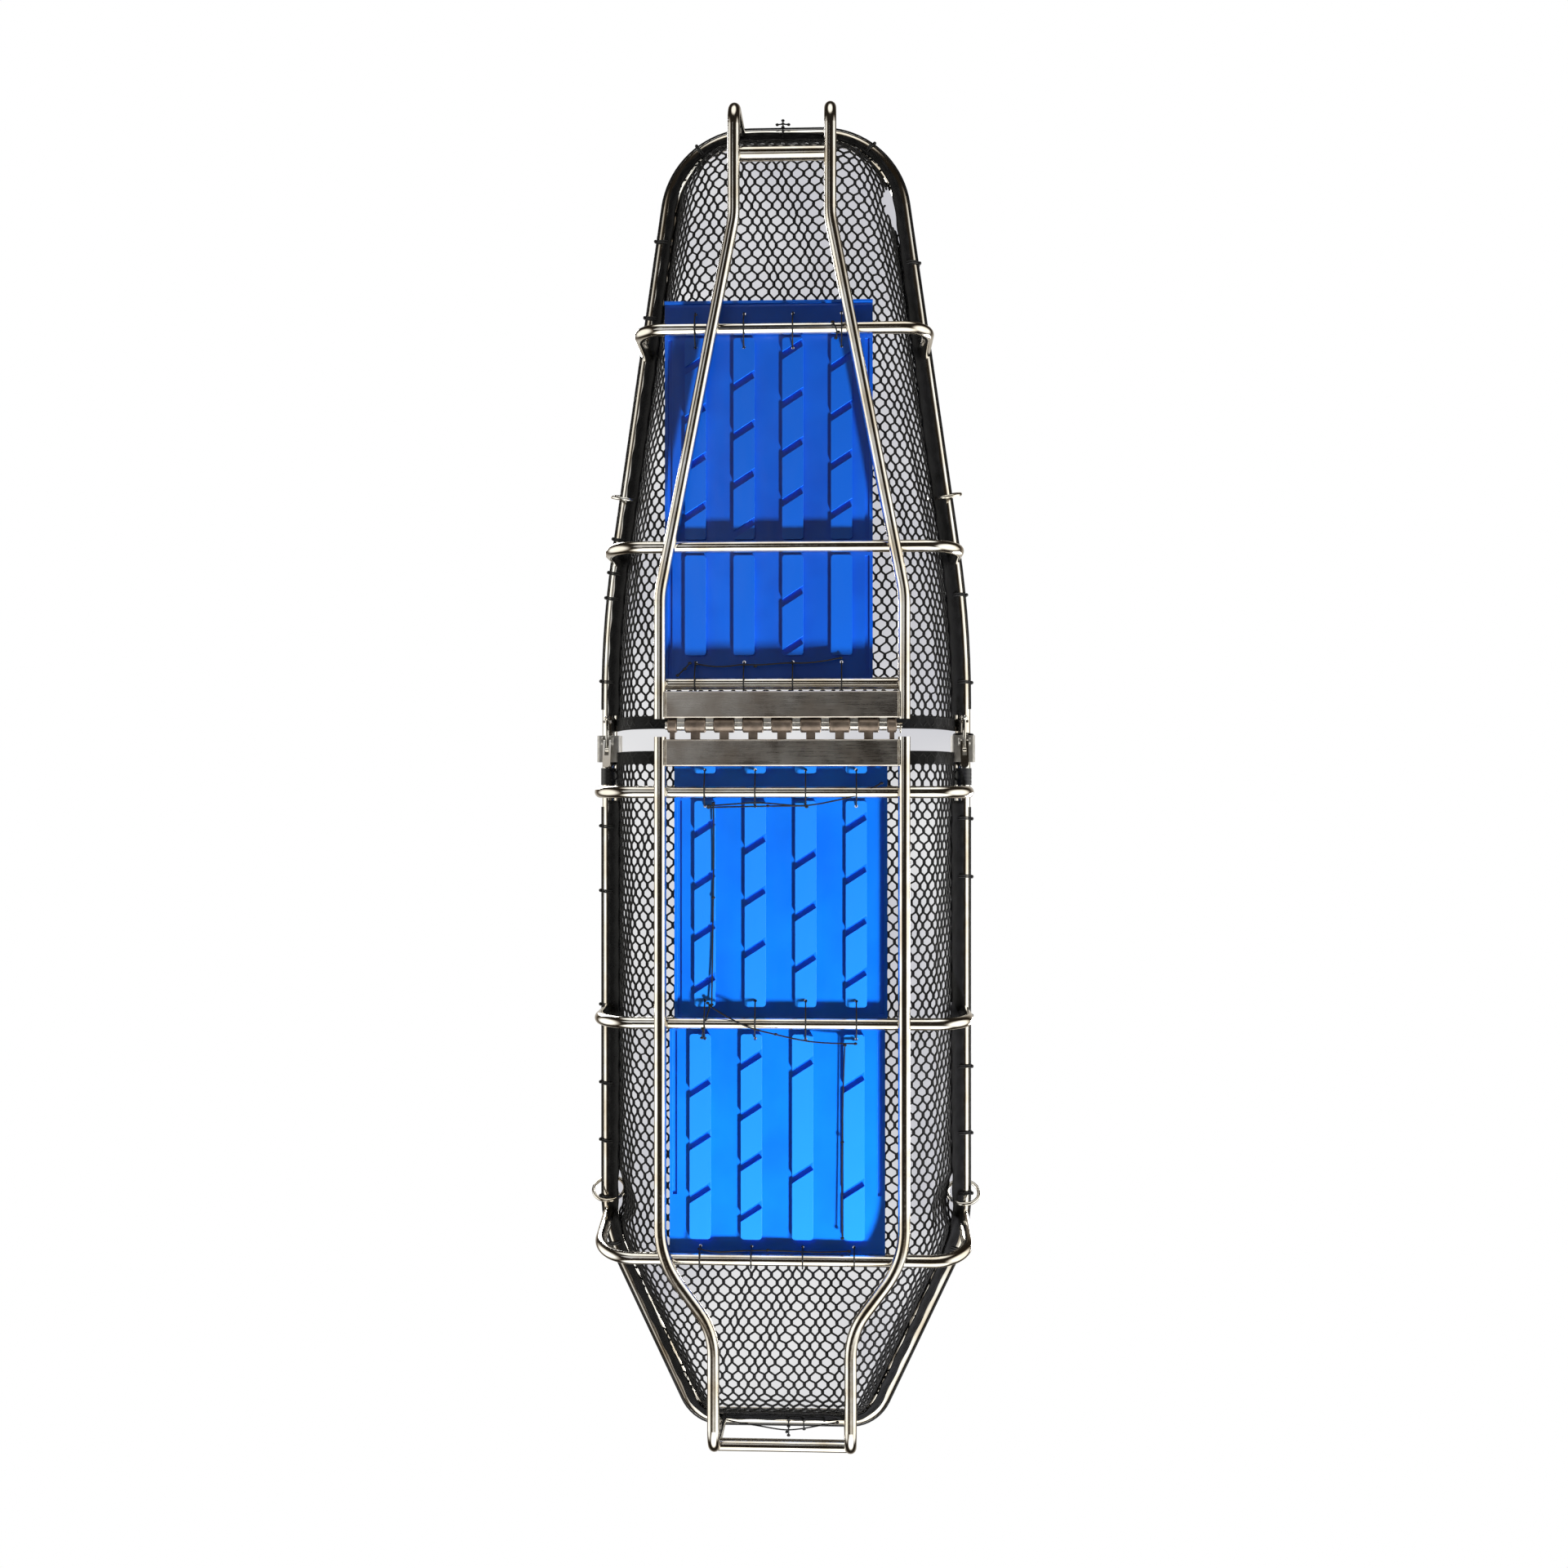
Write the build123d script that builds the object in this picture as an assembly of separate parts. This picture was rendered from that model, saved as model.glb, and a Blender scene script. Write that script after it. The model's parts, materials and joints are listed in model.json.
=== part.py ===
from build123d import *
import os
from math import atan2, cos, radians, sin, tan

# A two-part basket stretcher of stainless tube, lined with netting. Its foot half folds down about a
# comb hinge between the runners. It stands on its runners: +Z is up, +Y points to the head end, and
# "left" is -X. Lengths are in millimetres.

# Overall
LENGTH = 2157.0
WIDTH = 614.0
RAIL_D = 25.0
RAIL_Z = 178.0
TUBE_D = 19.0
WELD_GAP = 0.3

# The rail's plan: straight sides, then a taper to each end. Each bend lies at a share of the half
# length, and starts and ends at its run from the taper's corner.
FOOT_BEND_SHARE = 0.23452
FOOT_BEND_RUN = 128.7
FOOT_TIP_X = 177.2
FOOT_CORNER_R = 137.0
HEAD_BEND_SHARE = 0.7045
HEAD_BEND_RUN = 55.7
HEAD_TIP_X = 144.9
HEAD_CORNER_R = 60.0

# Ribs: place at the bottom as a share of the half length, how far the tops lean towards the middle,
# and bend radius
RIBS = {"back_rib": (0.02317, 0.0, 60.0), "waist_rib": (0.36257, 0.0, 60.0),
        "head_rib": (0.70919, 35.0, 60.0), "shin_rib": (-0.33705, 0.0, 60.0),
        "foot_rib": (-0.65666, 0.0, 43.0)}

# Runners
RUNNER_INSET = 105.2
RUNNER_GAP_HEAD = 17.6
RUNNER_GAP_FOOT = 10.1
RUNNER_SWEEP_R = 150.0
RUNNER_TURN_R = 38.0
RUNNER_MOUTH_DEPTH = 12.0
TUBE_WALL = 1.5
HEAD_SWEEP_SHARES = (0.704, 0.8079)
HEAD_END_X = 106.5
HEAD_TURN_FROM_END = 17.0
FOOT_SWEEP_SHARES = (0.2664, 0.8138)
FOOT_END_X = 75.0
FOOT_TURN_FROM_END = 21.0
GRAB_Z = 42.0
FOOT_CROSS_D = 22.0
FOOT_CROSS_FROM_END = 91.3
BOARD_REST_GAP = 66.3

# Comb hinge
HINGE_Y = -78.7
HINGE_Z = 11.5
HINGE_ROD_D = 8.0
HINGE_FIT = 0.05
BARREL_D = 22.0
BARREL_LENGTH = 32.0
END_BARREL_LENGTH = 14.5
LUG_D = 16.0
LUG_WIDTH = 11.5
LUG_HEIGHT = 12.0
COMB_SIDE_GAP = 0.65
NECK_WIDTH = 14.0
NECK_HEIGHT = 10.0
BARREL_CHAMFER = 1.5
BAR_WIDTH = 42.0
BAR_HEIGHT = 16.0
BAR_EDGE_R = 3.0
BAR_GAP_HEAD = 21.4
BAR_GAP_FOOT = 11.3
ROD_HEAD_D = 13.0
ROD_HEAD_T = 3.0
ROD_END_GAP = 0.5
CLIP_WIRE_D = 2.4
CLIP_R = 5.5

# Rail couplings: a socket block on the head half takes a tapered spigot of the foot half
SOCKET_WIDTH = 38.0
SOCKET_HEIGHT = 36.0
SOCKET_LENGTH = 44.0
SOCKET_EDGE_R = 6.0
SOCKET_REACH = 10.3
SOCKET_SEAT = 20.0
SPIGOT_R = 9.5
SPIGOT_TIP_R = 5.0
SPIGOT_LENGTH = 20.0
SPIGOT_FIT = 0.3
WRAP_LENGTH = 28.0
WRAP_T = 1.8
WRAP_GAP = 10.0

# Draw latches under the couplings, drawn open by LATCH_REST degrees from closed
LATCH_REST = 12.0
ROD_RATIO = 1.4
PIVOT_BEHIND_MOUTH = 10.4
LATCH_DROP = 9.0
LATCH_CRANK = 14.0
LATCH_OVER_CENTRE = 1.0
LEVER_LENGTH = 44.0
LEVER_WIDTH = 13.0
LEVER_SLOT = 7.0
LEVER_SLOT_LENGTH = 24.0
LEVER_HEIGHT = 7.0
LATCH_PIN_D = 4.0
LATCH_FIT = 0.05
CHEEK_T = 3.0
CHEEK_GAP = 0.3
CHEEK_WIDTH = 14.0
BRACKET_LENGTH = 24.0
BRACKET_T = 3.0
DRAW_ROD_D = 5.0
DRAW_EYE_D = 8.0
DRAW_EYE_T = 5.6
DRAW_BALL_D = 9.0
DRAW_LENGTH = 53.0
KEEPER_SLOT = 5.8
KEEPER_PRONG = 4.0
KEEPER_T = 4.0
KEEPER_GAP = 0.36
KEEPER_HOOK = 1.0

# Lifting rings threaded round the rail
RING_R = 26.0
RING_WIRE_D = 6.0
RING_GAP = 0.4
RINGS = {"head": (0.6454, 31.0), "foot": (-0.43527, -13.0)}
RING_ROOM = 1.5

# Netting basket
NET_T = 3.0
NET_RAIL_GAP = 0.3
NET_LEVELS = ((0.0, 0.0), (17.5, 58.0), (40.0, 103.0), (73.0, 126.0), (118.0, 131.5))
NET_CORNER_MIN_R = 12.0
NET_GAP_HEAD = 39.4
NET_GAP_FOOT = 2.2
HEM_WIDTH = 18.5
NET_ROOM = 0.5

# Plastic boards under the netting
# each board's middle and width
BOARDS = {"foot_board": (-22.0, 327.0), "back_board": (-3.0, 335.0), "head_board": (-8.5, 339.0)}
BOARD_T = 4.0
BOARD_JOINT = 5.0
BACK_BOARD_START = 33.0
FOOT_BOARD_OVERHANG = 28.0
HEAD_BOARD_OVERHANG = 8.0
REST_BOARD_OVERHANG = 5.0
STRIP_MARGIN = 48.8
STRIP_WIDTH = 33.0
STRIP_HEIGHT = 6.0
STRIP_END_R = 5.0
# how far the strips end from the tube's middle, on its low and high side
STRIP_ENDS = {"back_rib": (29.2, 14.0), "waist_rib": (24.9, 18.0), "head_rib": (29.7, 0.0),
              "shin_rib": (12.5, 12.5), "foot_rib": (12.5, 12.5), "rest": (45.0, 0.0)}
TAB_LENGTH = 18.0
# each strip's grooves: the first one's place past the tube where the strip starts, pitch and count
GROOVES = {"foot_board": ((53.0, 77.0, 4), (79.5, 77.0, 4), (30.0, 77.0, 4), (50.6, 77.0, 4)),
           "shin": ((0.0, 0.0, 0), (0.0, 0.0, 0), (77.3, 79.0, 2), (0.0, 0.0, 0)),
           "back_board": ((56.3, 81.0, 4), (81.8, 81.0, 3), (104.5, 81.0, 3), (47.6, 81.0, 4)),
           "head_board": ((101.0, 83.0, 3), (58.1, 79.0, 4), (68.3, 166.0, 2), (92.6, 166.0, 2))}
GROOVE_WIDTH = 11.0
GROOVE_DEPTH = 4.5
GROOVE_ANGLE = 33.0
CHANNEL_WIDTH = 7.0
CHANNEL_DEPTH = 3.0
CHANNEL_INSET = 8.5
CHANNEL_END = 13.0
HEAD_CHANNEL_END = 98.0
TIE_HOLE_D = 5.0
LIP_R = 9.0

# Cords
TIE_D = 2.5
# how far each tube's ties come through the board on its low and high side; 0 is round the board's end
TIE_SPANS = {"back_rib": (34.8, 22.0), "waist_rib": (34.8, 24.7), "head_rib": (17.0, 0.0),
             "foot_rib": (27.0, 27.0), "rest": (34.6, 0.0)}
TIE_SLACK = 0.45
TIE_TURN_R = 2.6
TIE_END = 4.0
LACING_D = 3.0
LACING_ANGLE = 35.0
LACING_START_HEAD = 50.0
LACING_LEAD = 9.3

RAIL_X = (WIDTH - RAIL_D) / 2
RAIL_END = (LENGTH - RAIL_D) / 2
RUNNER_X = RAIL_X - RUNNER_INSET
BOARD_REST_Y = HINGE_Y - BOARD_REST_GAP
RUNNER_Z = TUBE_D / 2
RIB_Z = TUBE_D + WELD_GAP + TUBE_D / 2
MOUTH_Y = HINGE_Y + SOCKET_REACH
BAR_Z = HINGE_Z - 2.0
BOARD_Z = RIB_Z + TUBE_D / 2 + WELD_GAP
PIVOT_Y = MOUTH_Y + PIVOT_BEHIND_MOUTH
PIVOT_Z = RAIL_Z - SOCKET_HEIGHT / 2 - LATCH_DROP
SIDES = {"left": -1, "right": 1}


def tube(points, radii, diameter):
    """A round tube, solid inside, along straight runs joined by tangent arcs."""
    path = FilletPolyline(*points, radius=radii) if radii else Line(*points)
    return sweep(Plane(path @ 0, z_dir=path % 0) * Circle(diameter / 2), path=path)


def rod_along(axis, centre, radius, length):
    """A cylinder centred at a point, along X, Y or Z."""
    turn = {"x": Rot(0, 90, 0), "y": Rot(-90, 0, 0), "z": Rot(0, 0, 0)}[axis]
    return Pos(*centre) * turn * Cylinder(radius, length)


def rail_corners(end):
    """The rail's centre line on its right side: where the taper starts, and its corner at the end."""
    if end == "foot":
        return (RAIL_X, -FOOT_BEND_SHARE * RAIL_END), (FOOT_TIP_X, -RAIL_END)
    return (RAIL_X, HEAD_BEND_SHARE * RAIL_END), (HEAD_TIP_X, RAIL_END)


def rail_taper(end):
    """The taper's angle to the side rails, in radians."""
    (x1, y1), (x2, y2) = rail_corners(end)
    return atan2(x1 - x2, abs(y2 - y1))


def rail_radii(end):
    """The bend and corner radii of the rail's centre line."""
    run, corner = (FOOT_BEND_RUN, FOOT_CORNER_R) if end == "foot" else (HEAD_BEND_RUN, HEAD_CORNER_R)
    return run / tan(rail_taper(end) / 2), corner


def inset_corners(end, inset):
    """The same two corners with the whole line moved inwards."""
    (x1, y1), (x2, y2) = rail_corners(end)
    taper = rail_taper(end)
    sign = -1 if end == "foot" else 1
    near = (x1 - inset, y1 - sign * inset * tan(taper / 2))
    far_y = y2 - sign * inset
    far = (near[0] - abs(far_y - near[1]) * tan(taper), far_y)
    return near, far


def rail_path(end, start_y, x_out=0.0, z=RAIL_Z):
    """The rail's line round one end, from side to side, with a parallel line for the lacing."""
    (x1, y1), (x2, y2) = inset_corners(end, -x_out)
    bend, corner = rail_radii(end)
    points = [(-x1, start_y, z), (-x1, y1, z), (-x2, y2, z), (x2, y2, z), (x1, y1, z), (x1, start_y, z)]
    radii = [bend + x_out, corner + x_out, corner + x_out, bend + x_out]
    return points, radii


def rail_spot(end, start_y, y):
    """The point of the right-hand rail's centre line at a place along the length, and its heading."""
    points, radii = rail_path(end, start_y)
    path = FilletPolyline(*points, radius=radii)
    low, high = (0.5, 1.0)
    for _ in range(40):
        middle = (low + high) / 2
        further = abs((path @ middle).Y) > abs(y)
        low, high = (middle, high) if further else (low, middle)
    return path @ high, path % high


HEAD_RAIL_START = MOUTH_Y + SPIGOT_LENGTH + 4.0
FOOT_RAIL_START = MOUTH_Y - WELD_GAP


def end_of(y):
    return ("head", HEAD_RAIL_START) if y > HINGE_Y else ("foot", FOOT_RAIL_START)


def rib_y(name):
    return RIBS[name][0] * RAIL_END


def mirrored(points):
    return [(-x, y, z) for x, y, z in points]


# Tube frame

def rail_room(end, room):
    """The rail of one half, or, with room, the space it needs."""
    points, radii = rail_path(end, HEAD_RAIL_START if end == "head" else FOOT_RAIL_START)
    return tube(points, radii, RAIL_D + 2 * room)


def rib(name):
    """A U-shaped rib from rail to rail, its ends shaped to sit against the rail's underside."""
    _, lean, bend_r = RIBS[name]
    bottom_y = rib_y(name)
    top_y = bottom_y - lean if bottom_y > 0 else bottom_y + lean
    end, start = end_of(top_y)
    spot, _ = rail_spot(end, start, top_y)
    half = [(spot.X, top_y, RAIL_Z), (spot.X, bottom_y, RIB_Z)]
    body = tube(mirrored(half) + half[::-1], [bend_r] * 2, TUBE_D)
    return body - rail_room(end, WELD_GAP)


def runner_start(end):
    return HINGE_Y + (RUNNER_GAP_HEAD if end == "head" else -RUNNER_GAP_FOOT)


def runner_room(end, side, room):
    """A skid tube from the hinge to one end, swept inwards and turned up to the rail's middle."""
    if end == "head":
        sign, shares, end_x, from_end = 1, HEAD_SWEEP_SHARES, HEAD_END_X, HEAD_TURN_FROM_END
    else:
        sign, shares, end_x, from_end = -1, FOOT_SWEEP_SHARES, FOOT_END_X, FOOT_TURN_FROM_END
    rail_y = sign * RAIL_END
    points = [(side * RUNNER_X, runner_start(end), RUNNER_Z), (side * RUNNER_X, shares[0] * rail_y, RUNNER_Z),
              (side * end_x, shares[1] * rail_y, RUNNER_Z),
              (side * end_x, rail_y - sign * from_end, RUNNER_Z), (side * end_x, rail_y, RAIL_Z)]
    return tube(points, [RUNNER_SWEEP_R, RUNNER_SWEEP_R * 0.75, RUNNER_TURN_R], TUBE_D + 2 * room)


def runner(end, side):
    """The skid tube, open at the hinge and shaped to sit against the rail."""
    mouth = rod_along("y", (side * RUNNER_X, runner_start(end), RUNNER_Z), TUBE_D / 2 - TUBE_WALL,
                      2 * RUNNER_MOUTH_DEPTH)
    return runner_room(end, side, 0) - rail_room(end, WELD_GAP) - mouth


def grab_tube():
    """The hand bar between the turned-up ends of the head runners."""
    lean = HEAD_TURN_FROM_END / (RAIL_Z - RUNNER_Z)
    y = RAIL_END - HEAD_TURN_FROM_END + lean * (GRAB_Z - RUNNER_Z)
    bar = rod_along("x", (0, y, GRAB_Z), TUBE_D / 2, 2 * HEAD_END_X)
    for side in (-1, 1):
        bar -= runner_room("head", side, WELD_GAP)
    return largest(bar)


def foot_cross_tube():
    """The thicker tube across the foot runners."""
    z = TUBE_D + WELD_GAP + FOOT_CROSS_D / 2
    y = FOOT_CROSS_FROM_END - RAIL_END
    return rod_along("x", (0, y, z), FOOT_CROSS_D / 2, 2 * FOOT_END_X + TUBE_D)


def board_rest():
    """The tube beside the hinge that the foot board is tied to."""
    return rod_along("x", (0, BOARD_REST_Y, RIB_Z), TUBE_D / 2, 2 * RUNNER_X + TUBE_D / 2)


# Comb hinge

def hinge_bar(near_gap, direction):
    """A box bar across the runners beside the hinge, its ends shaped to the tubes."""
    y = HINGE_Y + direction * (near_gap + BAR_WIDTH / 2)
    bar = Pos(0, y, BAR_Z) * Box(2 * RUNNER_X - 6, BAR_WIDTH, BAR_HEIGHT)
    bar = fillet(bar.edges().filter_by(Axis.X), BAR_EDGE_R)
    for side in (-1, 1):
        bar -= rod_along("y", (side * RUNNER_X, y, RUNNER_Z), TUBE_D / 2 + WELD_GAP, 2 * BAR_WIDTH)
    return bar


def comb_pitch():
    return BARREL_LENGTH + LUG_WIDTH + 2 * COMB_SIDE_GAP


def barrel(x, length, neck_width):
    """A hinge barrel on its neck, bored for the rod."""
    body = chamfer(Cylinder(BARREL_D / 2, length).edges().filter_by(GeomType.CIRCLE), BARREL_CHAMFER)
    body = Pos(x, HINGE_Y, HINGE_Z) * Rot(0, 90, 0) * body
    neck = Pos(x, HINGE_Y + BAR_GAP_HEAD / 2, HINGE_Z) * Box(neck_width, BAR_GAP_HEAD, NECK_HEIGHT)
    bore = rod_along("x", (x, HINGE_Y, HINGE_Z), HINGE_ROD_D / 2 + HINGE_FIT, 2 * length)
    return body + neck - bore


def comb_steps():
    """How many pitches fit from the comb's middle to its end barrels between the runners."""
    room = RUNNER_X - TUBE_D / 2 + BARREL_LENGTH / 2 - END_BARREL_LENGTH
    return int(room / comb_pitch())


def hinge_barrels():
    """The head half's full barrels, and a shorter one at each end."""
    steps = comb_steps()
    barrels = [barrel(i * comb_pitch(), BARREL_LENGTH, NECK_WIDTH) for i in range(1 - steps, steps)]
    end_x = steps * comb_pitch() - (BARREL_LENGTH - END_BARREL_LENGTH) / 2
    barrels += [barrel(side * end_x, END_BARREL_LENGTH, END_BARREL_LENGTH / 2) for side in (-1, 1)]
    return barrels


def lug(x):
    """A narrow lug of the foot half, between two barrels."""
    body = rod_along("x", (x, HINGE_Y, HINGE_Z), LUG_D / 2, LUG_WIDTH)
    root = Pos(x, HINGE_Y - BAR_GAP_FOOT / 2, HINGE_Z) * Box(LUG_WIDTH, BAR_GAP_FOOT, LUG_HEIGHT)
    bore = rod_along("x", (x, HINGE_Y, HINGE_Z), HINGE_ROD_D / 2 + HINGE_FIT, 2 * LUG_WIDTH)
    return body + root - bore


def hinge_lugs():
    """The foot half's lugs, one in each gap of the comb."""
    steps = comb_steps()
    return [lug((i + 0.5) * comb_pitch()) for i in range(-steps, steps)]


def comb_half_width():
    return comb_steps() * comb_pitch() - BARREL_LENGTH / 2 + END_BARREL_LENGTH


def hinge_rod():
    """The rod through the comb, with a head at one end and a cross hole for its clip."""
    inner = comb_half_width() + ROD_END_GAP
    tail = 2 * CLIP_R
    shaft = Pos((tail - ROD_HEAD_T) / 2, HINGE_Y, HINGE_Z) * Rot(0, 90, 0) * Cylinder(
        HINGE_ROD_D / 2, 2 * inner + tail - ROD_HEAD_T)
    head = rod_along("x", (-inner - ROD_HEAD_T / 2, HINGE_Y, HINGE_Z), ROD_HEAD_D / 2, ROD_HEAD_T)
    return shaft + head - rod_clip(WELD_GAP)


def clip_x():
    return comb_half_width() + ROD_END_GAP + CLIP_R


def rod_clip(room=0.0):
    """The wire ring through the end of the hinge rod, or, with room, the hole it passes through."""
    return Pos(clip_x(), HINGE_Y + CLIP_R, HINGE_Z) * Rot(0, 90, 0) * Torus(
        CLIP_R, CLIP_WIRE_D / 2 + room)


# Rail couplings and their draw latches

def socket(side):
    """A block on the end of the head rail, bored for the rail and tapered for the spigot."""
    centre = (side * RAIL_X, MOUTH_Y + SOCKET_LENGTH / 2, RAIL_Z)
    block = Pos(*centre) * Box(SOCKET_WIDTH, SOCKET_LENGTH, SOCKET_HEIGHT)
    block = fillet(block.edges().filter_by(Axis.Y), SOCKET_EDGE_R)
    depth = SOCKET_LENGTH - SPIGOT_LENGTH - 4 + WELD_GAP
    seat_y = MOUTH_Y + SOCKET_LENGTH - depth / 2
    block -= rod_along("y", (side * RAIL_X, seat_y, RAIL_Z), RAIL_D / 2 + WELD_GAP, depth)
    return block - cone_at(side, SPIGOT_FIT)


def cone_at(side, room):
    """The spigot's tapered nose, or with room the hole that takes it."""
    nose = Cone(SPIGOT_R + room, SPIGOT_TIP_R + room, SPIGOT_LENGTH + room)
    return Pos(side * RAIL_X, MOUTH_Y + (SPIGOT_LENGTH + room) / 2, RAIL_Z) * Rot(-90, 0, 0) * nose


def spigot(side):
    """The tapered nose on the end of the foot rail, with its collar."""
    collar = rod_along("y", (side * RAIL_X, MOUTH_Y - WELD_GAP / 2, RAIL_Z), SPIGOT_R, WELD_GAP)
    return cone_at(side, 0) + collar


def wrap_y():
    return MOUTH_Y + SOCKET_LENGTH + WRAP_GAP + WRAP_LENGTH / 2


def rail_wrap(side):
    """The tape wound round the rail behind the socket."""
    centre = (side * RAIL_X, wrap_y(), RAIL_Z)
    inner = RAIL_D / 2 + WELD_GAP
    tape = rod_along("y", centre, inner + WRAP_T, WRAP_LENGTH)
    return tape - rod_along("y", centre, inner, 2 * WRAP_LENGTH)


def draw_pivot():
    """The rod's pivot on the closed lever."""
    return PIVOT_Y + LATCH_CRANK, PIVOT_Z + LATCH_OVER_CENTRE


def opened(shape, side, with_lever=True, with_rod=False):
    """A latch piece drawn closed, turned to where it hangs at rest."""
    rod_y, rod_z = draw_pivot()
    if with_rod:
        shape = shape.rotate(Axis((0, rod_y, rod_z), (1, 0, 0)), ROD_RATIO * LATCH_REST)
    return shape.rotate(Axis((0, PIVOT_Y, PIVOT_Z), (1, 0, 0)), -LATCH_REST)


def latch_bracket(side):
    """A foot under the socket and two cheeks that carry the lever."""
    x, top = side * RAIL_X, RAIL_Z - SOCKET_HEIGHT / 2
    half = LEVER_WIDTH / 2 + CHEEK_GAP
    foot = Pos(x, MOUTH_Y + BRACKET_LENGTH / 2, top - BRACKET_T / 2) * Box(
        2 * (half + CHEEK_T), BRACKET_LENGTH, BRACKET_T)
    reach = top - BRACKET_T - PIVOT_Z
    pieces = [foot]
    for hand in (-1, 1):
        cx = x + hand * (half + CHEEK_T / 2)
        cheek = Pos(cx, PIVOT_Y, PIVOT_Z + reach / 2) * Box(CHEEK_T, CHEEK_WIDTH, reach)
        cheek += rod_along("x", (cx, PIVOT_Y, PIVOT_Z), CHEEK_WIDTH / 2, CHEEK_T)
        pieces.append(cheek - rod_along("x", (cx, PIVOT_Y, PIVOT_Z), LATCH_PIN_D / 2, 2 * CHEEK_T))
    return pieces


def latch_pivots(side):
    """The stub pins that the lever turns on, one in each cheek."""
    inner, outer = LEVER_SLOT / 2 + CHEEK_GAP, LEVER_WIDTH / 2 + CHEEK_GAP + CHEEK_T
    middle = (inner + outer) / 2
    return [rod_along("x", (side * RAIL_X + hand * middle, PIVOT_Y, PIVOT_Z), LATCH_PIN_D / 2,
                      outer - inner) for hand in (-1, 1)]


def latch_lever(side):
    """The forked lever: two rounded prongs beside the draw rod, joined at the tail."""
    x = side * RAIL_X
    body = Pos(x, PIVOT_Y + LEVER_LENGTH / 2, PIVOT_Z) * Box(LEVER_WIDTH, LEVER_LENGTH, LEVER_HEIGHT)
    tail = body.edges().filter_by(Axis.Z).sort_by(Axis.Y)[-2:]
    body = fillet(tail, LEVER_WIDTH / 2 - 0.5)
    body += rod_along("x", (x, PIVOT_Y, PIVOT_Z), LEVER_HEIGHT / 2, LEVER_WIDTH)
    slot_y = PIVOT_Y - LEVER_HEIGHT + (LEVER_SLOT_LENGTH + LEVER_HEIGHT) / 2
    body -= Pos(x, slot_y, PIVOT_Z) * Box(LEVER_SLOT, LEVER_SLOT_LENGTH + LEVER_HEIGHT, 2 * LEVER_HEIGHT)
    body -= rod_along("x", (x, PIVOT_Y, PIVOT_Z), LATCH_PIN_D / 2 + LATCH_FIT, 2 * LEVER_WIDTH)
    body -= rod_along("x", (x, *draw_pivot()), LATCH_PIN_D / 2, 2 * LEVER_WIDTH)
    return opened(body, side)


def draw_pin(side):
    """The pin across the lever that carries the draw rod's eye."""
    return opened(rod_along("x", (side * RAIL_X, *draw_pivot()), LATCH_PIN_D / 2, LEVER_WIDTH), side)


def draw_rod(side):
    """The rod with an eye, which reaches under the keeper."""
    rod_y, rod_z = draw_pivot()
    x = side * RAIL_X
    length = DRAW_LENGTH - ball_flat()
    shaft = rod_along("y", (x, rod_y - length / 2, rod_z), DRAW_ROD_D / 2, length)
    eye = rod_along("x", (x, rod_y, rod_z), DRAW_EYE_D / 2, DRAW_EYE_T)
    bore = rod_along("x", (x, rod_y, rod_z), LATCH_PIN_D / 2 + LATCH_FIT, 2 * DRAW_ROD_D)
    return opened(shaft + eye - bore, side, with_rod=True)


def ball_flat():
    """How far the ball's flat, which the rod meets, lies from its centre."""
    return ((DRAW_BALL_D / 2) ** 2 - (DRAW_ROD_D / 2) ** 2) ** 0.5 - 0.05


def draw_ball(side):
    """The ball on the draw rod's end."""
    rod_y, rod_z = draw_pivot()
    ball_y = rod_y - DRAW_LENGTH
    ball = Pos(side * RAIL_X, ball_y, rod_z) * Sphere(DRAW_BALL_D / 2)
    cut_y = ball_y + ball_flat() + DRAW_BALL_D
    ball -= Pos(side * RAIL_X, cut_y, rod_z) * Box(*[2 * DRAW_BALL_D] * 3)
    return opened(ball, side, with_rod=True)


def keeper(side):
    """Two prongs under the foot rail, which the closed latch's ball sits behind."""
    rod_y, rod_z = draw_pivot()
    shoulder = ((DRAW_BALL_D / 2) ** 2 - (KEEPER_SLOT / 2) ** 2) ** 0.5
    y = rod_y - DRAW_LENGTH + shoulder + KEEPER_GAP + KEEPER_T / 2
    low = rod_z - KEEPER_HOOK
    prongs = []
    for hand in (-1, 1):
        x = side * RAIL_X + hand * (KEEPER_SLOT + KEEPER_PRONG) / 2
        prong = Pos(x, y, (low + RAIL_Z) / 2) * Box(KEEPER_PRONG, KEEPER_T, RAIL_Z - low)
        prongs.append(prong - rod_along("y", (side * RAIL_X, y, RAIL_Z), RAIL_D / 2 + WELD_GAP, 40))
    return prongs


# Lifting rings

def ring_drop(tilt):
    """How far the ring's centre hangs below the rail's."""
    return RING_R * cos(radians(tilt)) - (RAIL_D + RING_WIRE_D) / 2 - RING_GAP


def ring_plane(end, side):
    """The rail's spot and heading at a ring, on one side."""
    share, tilt = RINGS[end]
    y = share * RAIL_END
    spot, heading = rail_spot(*end_of(y), y)
    return (side * spot.X, y, RAIL_Z), (side * heading.X, heading.Y, 0), tilt


def ring(end, side):
    """A welded ring threaded round the rail, leaning along it."""
    centre, heading, tilt = ring_plane(end, side)
    frame = Plane(centre, x_dir=(-heading[1], heading[0], 0), z_dir=(0, 0, 1))
    hoop = Pos(0, 0, -ring_drop(tilt)) * Rot(tilt, 0, 0) * Rot(90, 0, 0) * Torus(RING_R, RING_WIRE_D / 2)
    return frame * hoop


def ring_room(end, side):
    """The space round the rail that a ring sweeps, which the netting leaves free."""
    centre, heading, tilt = ring_plane(end, side)
    reach = ring_drop(tilt) + RING_R * cos(radians(tilt)) + RING_WIRE_D / 2 + RING_ROOM
    half = RING_R * sin(radians(abs(tilt))) + RING_WIRE_D / 2 + RING_ROOM
    return Plane(centre, z_dir=heading) * Cylinder(reach, 2 * half)


# Netting

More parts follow.
